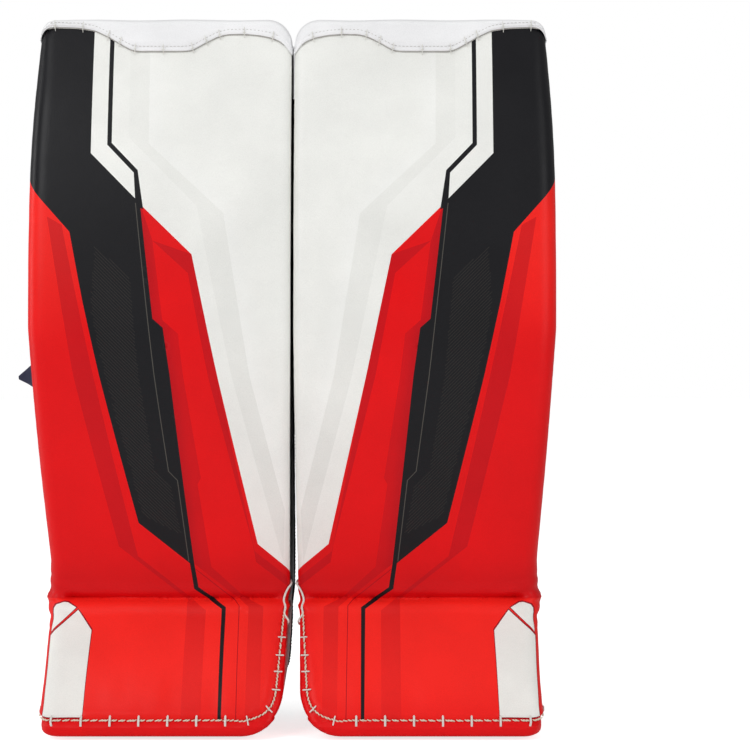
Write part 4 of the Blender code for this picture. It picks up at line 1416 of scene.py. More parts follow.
# ---- Ankle gusset stitching on the outer side ----------------------------------------------------
def side_pattern(y, z, side=-1):
    """The pattern place (u, v) of a point of the outer side, given behind the knee and above the floor."""
    best = None
    for k in range(241):
        v = lerp(SOLE_Z, 0.24, k / 240)
        s = station(v)
        depth = (y - s.y) * s.dy + (z - s.z) * s.dz
        off = abs(-(y - s.y) * s.dz + (z - s.z) * s.dy)
        if best is None or off < best[0]:
            best = (off, v, depth, s)
    _, v, depth, s = best
    return u_at_depth(s, depth, side), v


def eased(path, reach):
    """A path with each point moved to the mean of its neighbours, the two ends kept."""
    out = []
    for i in range(len(path)):
        span = min(reach, i, len(path) - 1 - i)
        near = path[i - span: i + span + 1]
        out.append(sum(near, Vector()) / len(near))
    return out


def gusset_stitches():
    bm = bmesh.new()
    lines = [((0.094, 0.137), (0.168, 0.1265)), ((0.094, 0.137), (0.129, 0.061))]
    for a, b in lines:
        for shift in (0.0, 0.0036):
            path, normals = [], []
            for k in range(31):
                t = k / 30
                y, z = lerp(a[0], b[0], t), lerp(a[1], b[1], t)
                dy, dz = b[0] - a[0], b[1] - a[1]
                n = math.hypot(dy, dz)
                y, z = y + dz / n * shift, z - dy / n * shift
                u, v = side_pattern(y, z)
                path.append(skin_point(u, v, 0.0002))
                normals.append(Vector((-1, 0, 0)))
            path = eased(path, 5)
            stitch_line(bm, path, normals, 0.0030, 0.0014, 0.00042)
    return bm


emit("gusset_stitches", mesh_from(gusset_stitches()), "shin", thread_white, (), FLEX)


# ---- Soft pads, swollen by cloth simulation ------------------------------------------------------
def evaluated(obj):
    graph = bpy.context.evaluated_depsgraph_get()
    return bpy.data.meshes.new_from_object(obj.evaluated_get(graph), depsgraph=graph)


def swollen(bm, voxel=0.005, cap=0.004, pressure=4.0, frames_run=20, held=None):
    """The pad as pressurised cloth: remeshed, swollen by the simulation with each point's travel
    capped, then subdivided once. `held` gives each point's share of the travel, by its place."""
    mesh = bpy.data.meshes.new("pad")
    bm.to_mesh(mesh)
    bm.free()
    obj = bpy.data.objects.new("pad", mesh)
    bpy.context.scene.collection.objects.link(obj)
    remesh = obj.modifiers.new("remesh", "REMESH")
    remesh.mode = "VOXEL"
    remesh.voxel_size = voxel
    obj.data = evaluated(obj)
    obj.modifiers.clear()
    rest = [v.co.copy() for v in obj.data.vertices]
    cloth = obj.modifiers.new("cloth", "CLOTH")
    cloth.settings.use_pressure = True
    cloth.settings.uniform_pressure_force = pressure
    cloth.settings.effector_weights.gravity = 0
    cloth.settings.quality = 5
    cloth.point_cache.frame_start = 1
    cloth.point_cache.frame_end = frames_run
    for f in range(1, frames_run + 1):
        bpy.context.scene.frame_set(f)
    result = evaluated(obj)
    moved = [v.co.copy() for v in result.vertices]
    obj.modifiers.clear()
    bpy.context.scene.frame_set(1)
    for vert, a, b in zip(obj.data.vertices, rest, moved):
        step = b - a
        limit = cap * (held(a) if held else 1.0)
        if step.length > limit:
            step = step.normalized() * limit
        vert.co = a + step
    smoothing = obj.modifiers.new("subdivision", "SUBSURF")
    smoothing.levels = smoothing.render_levels = 1
    made = evaluated(obj)
    bpy.data.objects.remove(obj)
    made.shade_smooth()
    return made


def surface(mesh):
    """A search tree of a mesh, to lay other pieces on it."""
    return BVHTree.FromPolygons([v.co for v in mesh.vertices], [p.vertices for p in mesh.polygons])


def pressed(mesh, lines, depth, width):
    """Presses sewn seams into a pad: lines are lists of points on or near its surface."""
    points = [p for line in lines for p in resample(line, width * 0.6)]
    tree = KDTree(len(points))
    for i, p in enumerate(points):
        tree.insert(p, i)
    tree.balance()
    for v in mesh.vertices:
        _, _, off = tree.find(v.co)
        if off < width * 2.5:
            v.co -= v.normal * depth * math.exp(-((off / width) ** 2))
    return mesh


def roll(path, normals, half_thick, half_wide, bm=None, sides=12):
    """A folded tape round an edge: an oval along the path, thick along the normals."""
    rings = []
    for i, p in enumerate(path):
        along = way_along(path, i)
        n = square_to(along, normals[i])
        wide = along.cross(n)
        turn = [2 * math.pi * k / sides for k in range(sides)]
        rings.append([p + n * half_thick * math.cos(a) + wide * half_wide * math.sin(a) for a in turn])
    return loft(rings, bm)


# ---- Calf wings ----------------------------------------------------------------------------------
class Wing:
    """A calf wing's middle surface over (share back, share up), as in the CAD."""

    def __init__(self, outer):
        self.outer = outer
        self.z_low, self.z_high = (0.110, 0.378) if outer else (0.106, 0.376)
        self.narrow, self.bulge = (0.204, 0.045) if outer else (0.210, 0.050)
        self.curl = 0.046 if outer else 0.050
        self.way = 1 if outer else -1
        self.centre = 0.0065

    def start(self, z):
        flare = 0.0035 + 0.0055 * smooth((0.158 - z) / 0.016)
        return wall_back_y(z) + flare

    def end(self, z):
        q = clamp01((z - self.z_low) / (self.z_high - self.z_low))
        return self.narrow + self.bulge * math.sqrt(max(math.sin(math.pi * (0.04 + 0.92 * q)), 0.0))

    def point(self, p, z, off=0.0):
        """`off` is measured from the middle of the padding, outward from the leg positive."""
        start, end = self.start(z), self.end(z)
        wall = outer_edge(max(z, CREASE_Z)) if self.outer else -inner_edge(max(z, CREASE_Z))
        x = wall + 0.003 + self.curl * p**1.8
        slope = self.curl * 1.8 * p**0.8 / max(end - start, 0.02)
        normal = Vector((1, -slope, 0)).normalized()
        place = Vector((x, lerp(start, end, p), z)) + normal * (self.centre * (1 - 0.35 * p) - off)
        return Vector((self.way * place.x, place.y, place.z))

    def share(self, y, z):
        start, end = self.start(z), self.end(z)
        return clamp01((y - start) / (end - start))

    def normal(self, p, z):
        a = self.point(p, z)
        return (self.point(p, z, 0.001) - a).normalized()

    def slab(self, half):
        """A thin closed pad round the middle surface, to be swollen."""
        rings = []
        for k in range(41):
            z = lerp(self.z_low + 0.003, self.z_high - 0.003, k / 40)
            edge = min(1.0, 0.72 + 3 * min(k, 40 - k) / 40)
            ps = [lerp(0.02, 0.965, i / 24) for i in range(25)]
            thick = [half * edge * (1 - 0.30 * p) for p in ps]
            thick[0], thick[-1] = thick[0] * 0.5, thick[-1] * 0.5
            ring = [self.point(p, z, t) for p, t in zip(ps, thick)]
            ring += [self.point(p, z, -t) for p, t in list(zip(ps, thick))[::-1]]
            rings.append(ring)
        return loft(rings)

    def rim(self):
        """The wing's free outline from its lower front corner, round the back, to its upper one."""
        low = [(p / 14, self.z_low + 0.0035) for p in range(0, 13)]
        back = [(0.965, z) for z in spread(self.z_low + 0.006, self.z_high - 0.006, 40)]
        high = [(p / 14, self.z_high - 0.0035) for p in range(12, -1, -1)]
        return low + back + high


def wing_pad(wing):
    def held(place):
        return 0.35 + 0.65 * smooth((place.y - wall_back_y(place.z) - 0.004) / 0.018)

    return swollen(wing.slab(0.0038), 0.005, 0.0036, 4.0, 20, held)


def wing_binding(wing):
    path, normals = [], []
    for p, z in wing.rim():
        path.append(wing.point(p, z))
        normals.append(wing.normal(p, z))
    ease = spline(path, 2)
    ease_n = spline(normals, 2)
    return roll(ease, [n.normalized() for n in ease_n], 0.0052, 0.0046)


# Panels of the outer wing as (distance behind the knee, height), metres
LEAF = [(0.0900, 0.3340), (0.1143, 0.3430), (0.1600, 0.3770), (0.1900, 0.3770), (0.2060, 0.3700),
        (0.2125, 0.3540), (0.2086, 0.3357), (0.1960, 0.3190), (0.1800, 0.3020), (0.1600, 0.2860),
        (0.1404, 0.2720), (0.1250, 0.2640), (0.0900, 0.2900)]
LEAF_EDGE = [(0.2045, 0.3755), (0.2125, 0.3680), (0.2160, 0.3560), (0.2128, 0.3340), (0.2000, 0.3155),
             (0.1835, 0.2980), (0.1630, 0.2815), (0.1430, 0.2672), (0.1280, 0.2585)]
BAND = [(0.1500, 0.1860), (0.1709, 0.1936), (0.2050, 0.2080), (0.2600, 0.2380), (0.2600, 0.2140),
        (0.2150, 0.1955), (0.1738, 0.1820), (0.1500, 0.1770)]


def smooth_line(line, steps=6):
    return [(p.x, p.y) for p in spline(line, steps)]


LEAF = LEAF[:3] + smooth_line(LEAF[3:12], 5) + LEAF[12:]


def wing_face_x(wing, tree, y, z):
    """The outer wing's outer face at (y, z): on the swollen pad, and never inside the CAD's wing."""
    base = wing.point(wing.share(y, z), z, 0.0050)
    hit, _, _, _ = tree.ray_cast(Vector((-0.3, y, z)), Vector((1, 0, 0)))
    return min(base.x, hit.x - 0.0008) if hit else base.x


def draped_panels(wing, tree):
    """The outer wing's cover, with its print: triangulated round its panels and laid on the swollen pad."""
    z_low, z_high = wing.z_low + 0.006, wing.z_high - 0.006
    heights = spread(z_low, z_high, 60)
    border = [(lerp(wing.start(z), wing.end(z), 0.955), z) for z in heights]
    front = [(wing.start(z) + 0.001, z) for z in heights][::-1]
    points, edges = [], []
    for line in (border + front, LEAF, BAND):
        pts = resample(line + line[:1], 0.004)[:-1]
        first = len(points)
        points += pts
        edges += [(first + i, first + (i + 1) % len(pts)) for i in range(len(pts))]
    for z in heights[1:-1]:
        y = wing.start(z) + 0.004
        while y < lerp(wing.start(z), wing.end(z), 0.94):
            if min((Vector((y, z)) - p).length for p in points[: 400]) > 0.0015:
                points.append(Vector((y, z)))
            y += 0.0045
    verts, _, faces, *_ = delaunay_2d_cdt(points, edges, [], 0, 1e-6)
    bm = bmesh.new()
    tint = bm.loops.layers.float_color.new("Tint")
    made = {}
    outline = border + front
    for face in faces:
        cy = sum(verts[i][0] for i in face) / len(face)
        cz = sum(verts[i][1] for i in face) / len(face)
        if not inside(outline, cy, cz):
            continue
        in_leaf, in_band = inside(LEAF, cy, cz), inside(BAND, cy, cz)
        for i in face:
            if i in made:
                continue
            y, z = verts[i]
            seam = distance_to(LEAF_EDGE, y, z)
            puff = 0.0016 * (1 - math.exp(-seam / 0.007)) - 0.0008
            made[i] = bm.verts.new((wing_face_x(wing, tree, y, z) - puff, y, z))
        try:
            f = bm.faces.new([made[i] for i in face])
        except ValueError:
            continue
        for loop, i in zip(f.loops, face):
            y, z = verts[i]
            if in_leaf:
                deep = smooth((0.185 - y) / 0.06) * smooth((0.350 - z) / 0.05)
                colour = mixed(RED, (0.30, 0.002, 0.012), deep)
            elif in_band:
                colour = mixed(RED, (0.42, 0.003, 0.006), smooth((0.200 - y) / 0.03))
            else:
                colour = mixed(WHITE, (0.80, 0.80, 0.80), smooth((0.20 - y) / 0.08) * 0.5)
            loop[tint] = (*colour, 1)
    bmesh.ops.recalc_face_normals(bm, faces=bm.faces)
    bm.faces.ensure_lookup_table()
    if sum(f.normal.x for f in bm.faces) > 0:
        bmesh.ops.reverse_faces(bm, faces=bm.faces)
    return bm


outer_wing, inner_wing = Wing(True), Wing(False)
outer_pad, inner_pad = wing_pad(outer_wing), wing_pad(inner_wing)
outer_tree = surface(outer_pad)
emit("outer_wing_pad", outer_pad, "outer_wing", black_knit, ("outer_calf_wing",))
emit("outer_wing_cover", solid(draped_panels(outer_wing, outer_tree), 0.0010), "outer_wing", print_and_painted_light,
     slot="white_leathercloth")
emit("outer_wing_binding", mesh_from(wing_binding(outer_wing), 60), "outer_wing", black_leather)


def on_outer_wing(places, lift):
    """Places (y, z) laid on the outer wing's outer face."""
    points, normals = [], []
    for y, z in places:
        points.append(Vector((wing_face_x(outer_wing, outer_tree, y, z) - lift, y, z)))
        normals.append(outer_wing.normal(outer_wing.share(y, z), z))
    return points, normals


def fine(line, step=0.003):
    return [(p.x, p.y) for p in resample(line, step)]


def wing_piping():
    """The black piping round the leaf, a flat roll that the panels are sewn to."""
    places = [(y, z) for y, z in smooth_line(LEAF_EDGE) if y > outer_wing.start(z) + 0.0015]
    points, normals = on_outer_wing(places, 0.0010)
    return roll(points, normals, 0.0024, 0.0053)


def wing_seams():
    bm = bmesh.new()
    upper = [(0.1143, 0.3430), (0.1330, 0.3565), (0.1506, 0.3700)]
    for line in (upper, BAND[:4], BAND[4:8]):
        points, normals = on_outer_wing([q for q in fine(line) if q[0] < lerp(
            outer_wing.start(q[1]), outer_wing.end(q[1]), 0.95)], 0.0012)
        if len(points) > 3:
            stitch_line(bm, points, normals, 0.0026, 0.0015, 0.00032)
    return bm


emit("outer_wing_piping", mesh_from(wing_piping(), 60), "outer_wing", black_leather)
emit("outer_wing_seams", mesh_from(wing_seams()), "outer_wing", thread_grey)


def wing_hinge(wing, low, high):
    """The strip of cloth a wing hangs from, between the wall's back edge and the wing's root."""
    rings = []
    for z in spread(low, high, 24):
        back = wall_back_y(z)
        wall = outer_edge(max(z, CREASE_Z)) if wing.outer else -inner_edge(max(z, CREASE_Z))
        root = wing.point(0.02, z)
        x0, x1 = wing.way * (wall + 0.0060), root.x
        y0, y1 = back - 0.0006, root.y + 0.0040
        ring = [Vector((x, y, z)) for x, y in zip(spread(x0, x1, 4), spread(y0, y1, 4))]
        half = Vector((0.0011, 0, 0))
        rings.append([q + half for q in ring] + [q - half for q in ring[::-1]])
    return loft(rings)


for wing, label in ((outer_wing, "outer_wing"), (inner_wing, "inner_wing")):
    low, flare_z, up = 0.130, 0.178, wing.z_high - 0.010
    emit(f"{label}_hinge_cloth", mesh_from(wing_hinge(wing, flare_z, up)), "shin", black_knit,
         blend=(label, (0, wall_back_y(0.280), 0.280), (0, wall_back_y(0.280) + 0.0055, 0.2824)))
    emit(f"{label}_hinge_cloth_low", mesh_from(wing_hinge(wing, low, flare_z)), "shin", black_knit,
         blend=(label, (0, 0.1795, 0.150), (0, 0.1860, 0.150)))


def wing_landing():
    """The padded patch on the outer wing's free edge that the calf strap closes on."""
    rings = []
    rounding = ((0, 0.0070), (0.2, 0.0045), (0.6, 0.0022), (1.2, 0.0006), (2, 0))
    for k, draw in rounding + tuple((12 - k, draw) for k, draw in rounding[::-1]):
        z = lerp(0.226, 0.276, k / 12)
        ring = []
        for t in range(9):
            x = lerp(OUTER_X + 0.0300 + draw, OUTER_X + 0.0560 - draw, t / 8)
            ring.append(Vector((x, 0.2580 - draw * 0.6 - 0.0060 * (abs(t - 4) / 4) ** 3, z)))
        under = []
        for t in range(9):
            share = lerp(0.985 - 6 * draw, 0.76 + 9 * draw, t / 8)
            under.append(outer_wing.point(share, z, 0.0035))
        rings.append(ring + under)
    return loft(rings)


emit("outer_wing_landing", mesh_from(wing_landing(), 50), "outer_wing", black_leather)

wing_lines = []
for off in (0.006, -0.006):
    for share in (0.36, 0.68):
        wing_lines.append([inner_wing.point(share, z, off) for z in spread(0.120, 0.362, 30)])
    for z in (0.185, 0.262, 0.330):
        wing_lines.append([inner_wing.point(share, z, off) for share in spread(0.06, 0.92, 20)])
emit("inner_wing_pad", pressed(inner_pad, wing_lines, 0.0016, 0.0030), "inner_wing", black_knit,
     ("inner_calf_wing",))
emit("inner_wing_binding", mesh_from(wing_binding(inner_wing), 60), "inner_wing", black_leather)


# ---- Knee cushion and calf wedge -----------------------------------------------------------------
def pillow_slab(low, high, bend, inset=0.002, radius=0.010):
    """A box with rounded edges, bent by `bend`, as the start of a pad."""
    bm = bmesh.new()
    bmesh.ops.create_cube(bm, size=1.0)
    size = Vector(high) - Vector(low) - Vector((2 * inset,) * 3)
    centre = (Vector(high) + Vector(low)) / 2
    for v in bm.verts:
        v.co = Vector([c * s for c, s in zip(v.co, size)]) + centre
    bmesh.ops.bevel(bm, geom=bm.edges[:], offset=radius, segments=3, profile=0.5, affect="EDGES")
    long_edges = [e for e in bm.edges if e.calc_length() > 0.02]
    bmesh.ops.subdivide_edges(bm, edges=long_edges, cuts=10, use_grid_fill=True)
    for v in bm.verts:
        v.co = bend(v.co)
    return bm


def behind_channel(place):
    return place + Vector((0, front_y(place.z) + MID_THICKNESS + 0.0045, 0))


cushion = swollen(pillow_slab((-0.066, 0.0005, 0.405), (0.072, 0.021, 0.545), behind_channel, 0.003, 0.008),
                  0.0045, 0.0045)
cushion_back = 0.021 + MID_THICKNESS + 0.004
cushion_lines = []
for z in (0.448, 0.475, 0.502):
    y = front_y(z) + cushion_back
    cushion_lines.append([Vector((x, y, z)) for x in spread(-0.058, 0.064, 20)])
emit("knee_cushion_pad", pressed(cushion, cushion_lines, 0.0030, 0.0034), "shin", black_knit,
     ("knee_cushion",))


def cushion_piping():
    """A cord sewn round the cushion's edge."""
    low, high = Vector((-0.0655, 0, 0.4055)), Vector((0.0715, 0, 0.5445))
    path = [behind_channel(p) for p in rounded_rectangle(low, high, 0.011, 0.0, steps=6, side_points=1)]
    return cord(resample(path + path[:1], 0.004), 0.0017, ends=False)


emit("knee_cushion_piping", mesh_from(cushion_piping()), "shin", black_leather)

wedge_low, wedge_high = (INNER_X - 0.058, WALL_BACK + 0.0155, 0.386), (INNER_X - 0.008, 0.194, 0.4125)
wedge = swollen(pillow_slab(wedge_low, wedge_high, lambda p: p.copy(), 0.003, 0.008), 0.0045, 0.0032)
wedge_seam = [Vector((wedge_low[0] + 0.025, y, wedge_high[2]))
              for y in spread(wedge_low[1] + 0.01, wedge_high[1] - 0.008, 10)]
emit("calf_wedge_pad", pressed(wedge, [wedge_seam], 0.0020, 0.0030), "shin", black_knit, ("calf_wedge",))


# ---- Knee block ----------------------------------------------------------------------------------
BLOCK_LOW = Vector((INNER_X - 0.050, WALL_BACK + 0.0012, 0.416))
BLOCK_HIGH = Vector((INNER_X - 0.001, 0.208, 0.541))


def block_cover():
    """The moulded shell: a base flange, three shallow grooves round it and a rounded far end."""
    low, high = BLOCK_LOW, BLOCK_HIGH
    profile = [(0.0, 0.0), (0.0, 0.002), (0.0, 0.006), (0.0016, 0.0075)]
    length = high.y - low.y
    y = 0.012
    while y < length - 0.022:
        near = min(abs(y - g) for g in (0.040, 0.068, 0.096))
        groove = 0.0022 * math.exp(-((near / 0.0022) ** 2))
        profile.append((0.0014 + groove, y))
        y += 0.0016
    for k in range(7):
        a = math.pi / 2 * k / 6
        profile.append((0.0014 + 0.012 * (1 - math.cos(a)), length - 0.014 + 0.014 * math.sin(a)))
    rings = [rounded_rectangle(low, high, low.y + depth, draw) for draw, depth in profile]
    inner = [rounded_rectangle(low, high, low.y + depth, draw)
             for draw, depth in ((0.0150, length - 0.0036), (0.0036, length - 0.017), (0.0036, 0.0))]
    return loft(inner + rings)


emit("knee_block_shell", mesh_from(block_cover(), 45), "shin", block_grey, ("knee_block_cover",))


def end_pad():
    low, high = BLOCK_LOW, BLOCK_HIGH
    centre_z = (low.z + high.z) / 2 + 0.012
    a = Vector((low.x + 0.0135, high.y + 0.0004, centre_z - 0.001))
    b = Vector((high.x - 0.0135, high.y + 0.0070, high.z - 0.014))
    rings = []
    for share, draw in ((0.0, 0.0010), (0.15, 0.0), (0.55, 0.0), (0.8, 0.0010), (0.95, 0.0028),
                        (1.0, 0.0048)):
        rings.append(rounded_rectangle(a, b, lerp(a.y, b.y, share), draw, 0.006, 5, 6))
    return loft(rings)


emit("knee_block_landing", mesh_from(end_pad(), 50), "shin", black_leather, ("knee_block_end_pad",))


def block_flange():
    """A sewn flange of black leathercloth that fastens the block to the pad's back."""
    low, high = BLOCK_LOW - Vector((0, 0, 0.004)), BLOCK_HIGH + Vector((0, 0, 0.004))
    rings = []
    for lift, draw in ((0.0004, -0.0018), (0.0016, -0.0016), (0.0022, -0.0006), (0.0024, 0.004),
                       (0.0006, 0.004)):
        rings.append(rounded_rectangle(low, high, BLOCK_LOW.y + lift, draw, 0.012))
    return loft(rings, endless=True)


emit("knee_block_flange", mesh_from(block_flange(), 50), "shin", black_leather)


# ---- Straps --------------------------------------------------------------------------------------
def stitched_box(path, width, across, length, bm, lift=0.0016):
    """A box of stitches with a cross in it, at the start of a strap."""
    marks = resample(path, 0.002)
    run, out = 0.0, []
    for i, p in enumerate(marks):
        run += (p - marks[i - 1]).length if i else 0.0
        out.append((run, p))
    inner = [(r, p) for r, p in out if 0.003 <= r <= 0.003 + length]
    if len(inner) < 3:
        return bm

    spots = [p for _, p in inner]

    def place(r, q):
        i = min(range(len(inner)), key=lambda k: abs(inner[k][0] - r))
        along = way_along(spots, i)
        side = square_to(along, across)
        return spots[i] + side * q * width / 2, along.cross(side).normalized()

    r0, r1 = inner[0][0], inner[-1][0]
    side = 0.78  # share of the strap's half width
    lines = [[(r, q) for r in spread(r0, r1, 16)] for q in (-side, side)]
    lines += [[(r, q) for q in spread(-side, side, 16)] for r in (r0, r1)]
    lines += [[(r, q * w) for r, q in zip(spread(r0, r1, 20), spread(-side, side, 20))] for w in (-1, 1)]
    for line in lines:
        for sign in (-1, 1):
            points, normals = [], []
            for r, q in line:
                p, face = place(r, q)
                points.append(p + face * lift * sign)
                normals.append(face * sign)
            stitch_line(bm, points, normals, 0.0022, 0.0011, 0.00030)
    return bm


def edge_stitches(path, width, across, bm, lift, inset=0.0022):
    """A row of stitches inside each edge of a strap, on both faces."""
    for q in (-1, 1):
        for sign in (-1, 1):
            points, normals = [], []
            for i, p in enumerate(path):
                along = way_along(path, i)
                side = square_to(along, across)
                face = along.cross(side).normalized()
                points.append(p + side * q * (width / 2 - inset) + face * lift * sign)
                normals.append(face * sign)
            stitch_line(bm, points, normals, 0.0024, 0.0014, 0.00026)
    return bm


def tri_glide(centre, along, across, width):
    """A three-bar slide buckle: a rounded frame and its middle bar, with real openings."""
    bm = bmesh.new()
    face = along.cross(across).normalized()
    half_w, half_l, bar = width / 2 + 0.0036, 0.0115, 0.0021
    corner = 0.0030
    outline = []
    for quarter, (sa, sb) in enumerate(((1, 1), (-1, 1), (-1, -1), (1, -1))):
        for k in range(5):
            a = math.pi / 2 * (quarter + k / 4)
            outline.append(centre + across * (sa * (half_w - corner) + corner * math.cos(a))
                           + along * (sb * (half_l - corner) + corner * math.sin(a)))
    closed_path = resample(outline + [outline[0]], 0.003)
    roll(closed_path, [face] * len(closed_path), 0.0017, bar, bm, 10)
    reach = half_w - 0.001
    middle = [centre + across * off + face * 0.0012 for off in spread(-reach, reach, 8)]
    roll(middle, [face] * len(middle), 0.0016, 0.0024, bm, 10)
    return bm


TILTED = Vector((0, 0.10, 1))
BOOT_LEAN = Vector((0, -0.35, 1))
ACROSS = Vector((1, 0, 0))


def strap(name, body, path, widths, thickness, across, cloth, replaces=(), **more):
    """A flat strap of webbing along a path. A single width is used all along."""
    if isinstance(widths, float):
        widths = [widths] * len(path)
    emit(name, mesh_from(ribbon(path, widths, thickness, across)), body, cloth, replaces, **more)


def slide(name, body, path, i, across, width):
    """A slide buckle threaded on a strap at point i of its path."""
    along = (path[i + 1] - path[i - 1]).normalized()
    emit(name, mesh_from(tri_glide(path[i], along, across.normalized(), width), 50), body, acetal)


anchor_x = OUTER_X + 0.0150
anchor_path = spline([(anchor_x, y, z) for y, z in (
    (WALL_BACK + 0.0010, 0.470), (0.088, 0.470), (0.100, 0.470), (0.112, 0.468), (0.122, 0.466))], 5)
anchor_widths = list(np.interp(range(21), [0, 5, 10, 15, 20], [0.072, 0.071, 0.066, 0.050, 0.032]))
strap("knee_anchor_webbing", "shin", anchor_path, anchor_widths, 0.0024, UP, red_web,
      ("knee_strap_anchor",))


def knee_strap_path(steps=48):
    start, end = Vector((INNER_X - 0.030, 0.2165, 0.446)), Vector((OUTER_X + 0.0115, 0.093, 0.480))
    path = []
    for i in range(steps + 1):
        a = math.pi * i / steps
        across = (1 - math.cos(a)) / 2
        x = lerp(start.x - 0.001, end.x, clamp01(1.12 * across) ** 0.8)
        y = lerp(start.y, end.y, across**3.2) + 0.022 * math.sin(a) ** 0.8
        path.append(Vector((x, y, lerp(start.z, end.z, across**1.5) - 0.012 * math.sin(a))))
    return resample(path, 0.004)


KNEE_WIDTH = 0.042
knee_path = knee_strap_path()
knee_widths = [lerp(0.036, KNEE_WIDTH, clamp01(i / 6)) for i in range(len(knee_path))]
strap("knee_strap_webbing", "knee_strap", knee_path, knee_widths, 0.0026, TILTED, red_web,
      ("knee_strap",))
knee_stitches = stitched_box(knee_path, 0.036, TILTED, 0.026, bmesh.new())
edge_stitches(knee_path[9:], KNEE_WIDTH, TILTED, knee_stitches, 0.0015)
emit("knee_strap_stitches", mesh_from(knee_stitches), "knee_strap", thread_black)

TAB_WIDTH = 0.047
tab_x = OUTER_X + 0.0078
tab_path = spline([(tab_x, 0.092, 0.483), (tab_x - 0.0003, 0.108, 0.4798), (tab_x, 0.125, 0.476),
                   (tab_x, 0.143, 0.472), (tab_x, 0.160, 0.468)], 6)
strap("knee_tab_webbing", "knee_tab", tab_path, TAB_WIDTH, 0.0030, TILTED, red_leather,
      ("knee_strap_tab",), slot="red_webbing")
tab_stitches = stitched_box(tab_path[::-1], 0.044, TILTED, 0.030, bmesh.new(), 0.0018)
edge_stitches(tab_path, TAB_WIDTH, TILTED, tab_stitches, 0.0017)
emit("knee_tab_stitches", mesh_from(tab_stitches), "knee_tab", thread_grey)


def bowed_path(start, end, bow, power, steps):
    """A path from start to end that bows back: `bow` gives its lift all along and in the middle."""
    path = []
    for i in range(steps + 1):
        share = i / steps
        p = Vector(start).lerp(Vector(end), share)
        p.y += bow[0] + bow[1] * math.sin(math.pi * share) ** power
        path.append(p)
    return path


CALF_WIDTH = 0.036
calf_path = bowed_path((INNER_X - 0.064, 0.2660, 0.250), (OUTER_X + 0.040, 0.2635, 0.252),
                       (0, 0.0067), 0.7, 40)
strap("calf_strap_webbing", "calf_strap", calf_path, CALF_WIDTH, 0.0026, UP, black_web, ("calf_strap",))
calf_stitches = stitched_box(calf_path, CALF_WIDTH, UP, 0.024, bmesh.new())
edge_stitches(calf_path[7:], CALF_WIDTH, UP, calf_stitches, 0.0015)
emit("calf_strap_stitches", mesh_from(calf_stitches), "calf_strap", thread_grey)

CALF_TAB_WIDTH = 0.030
calf_tab_path = spline([(OUTER_X + 0.086, 0.2755, 0.250), (OUTER_X + 0.074, 0.2752, 0.2505),
                        (OUTER_X + 0.062, 0.2738, 0.251), (OUTER_X + 0.051, 0.2722, 0.2515),
                        (OUTER_X + 0.040, 0.2700, 0.252)], 6)
strap("calf_tab_webbing", "calf_tab", calf_tab_path, CALF_TAB_WIDTH, 0.0022, UP, red_web,
      ("calf_strap_tab",))
calf_tab_stitches = edge_stitches(calf_tab_path, CALF_TAB_WIDTH, UP, bmesh.new(), 0.0013)
emit("calf_tab_stitches", mesh_from(calf_tab_stitches), "calf_tab", thread_black)

BOOT_WIDTH = 0.028
BOOT_STRAP_Z = 0.073
boot_path = bowed_path((BOOT_INNER - 0.018, 0.177, BOOT_STRAP_Z), (BOOT_OUTER + 0.016, 0.177, BOOT_STRAP_Z),
                       (0.003, 0.015), 0.6, 36)
strap("boot_strap_webbing", "boot_strap", boot_path, BOOT_WIDTH, 0.0026, BOOT_LEAN, black_web,
      ("boot_strap",))
boot_stitches = stitched_box(boot_path, BOOT_WIDTH, BOOT_LEAN, 0.020, bmesh.new())
edge_stitches(boot_path[6:], BOOT_WIDTH, BOOT_LEAN, boot_stitches, 0.0015)
emit("boot_strap_stitches", mesh_from(boot_stitches), "boot_strap", thread_grey)

# The sewn roots that join the boot strap and the knee strap to the pad
boot_root = spline([(BOOT_INNER - inset, y, BOOT_STRAP_Z) for inset, y in (
    (0.0095, 0.1500), (0.0100, 0.1620), (0.0120, 0.1730), (0.0175, 0.1788), (0.0260, 0.1826))], 6)
strap("boot_strap_root", "boot", boot_root, 0.026, 0.0022, BOOT_LEAN, black_web,
      blend=("boot_strap", (0, 0.1655, BOOT_STRAP_Z), (0, 0.1770, BOOT_STRAP_Z)))
knee_root = spline([(INNER_X - inset, y, z) for inset, y, z in (
    (0.0080, 0.2070, 0.4465), (0.0160, 0.2092, 0.4462), (0.0240, 0.2130, 0.4460), (0.0310, 0.2150, 0.4460),
    (0.0390, 0.2178, 0.4450))], 6)
strap("knee_strap_root", "shin", knee_root, 0.034, 0.0022, TILTED, red_web,
      blend=("knee_strap", (INNER_X - 0.0200, 0.2165, 0.446), (INNER_X - 0.0310, 0.2165, 0.446)))

# A navy strap end at the left pad's outer edge, on that pad only
tip_path = spline([(-0.1352, 0.0640, 0.3810), (-0.1370, 0.0705, 0.3810), (-0.1412, 0.0775, 0.3805),
                   (-0.1500, 0.0835, 0.3795), (-0.1615, 0.0880, 0.3780)], 6)
tip_widths = list(np.interp(range(len(tip_path)), (0, 11, 17, 22, 24), (0.034, 0.034, 0.021, 0.009, 0.004)))
strap("strap_end_webbing", "shin", tip_path, tip_widths, 0.0022, UP, navy_web, sides=(LEFT,))


def calf_keeper_path():
    """From the inner wing's outer face, round its free edge, to the root of the calf strap."""
    z = 0.250
    path = [inner_wing.point(share, z, 0.0062) for share in (0.70, 0.78, 0.86, 0.93)]
    edge = inner_wing.point(0.985, z)
    path += [edge + Vector((0.0045, 0.0042, 0)), edge + Vector((0.0000, 0.0068, 0))]
    return spline(path + [(INNER_X - 0.0615, 0.2640, z), (INNER_X - 0.0665, 0.2638, z)], 6)


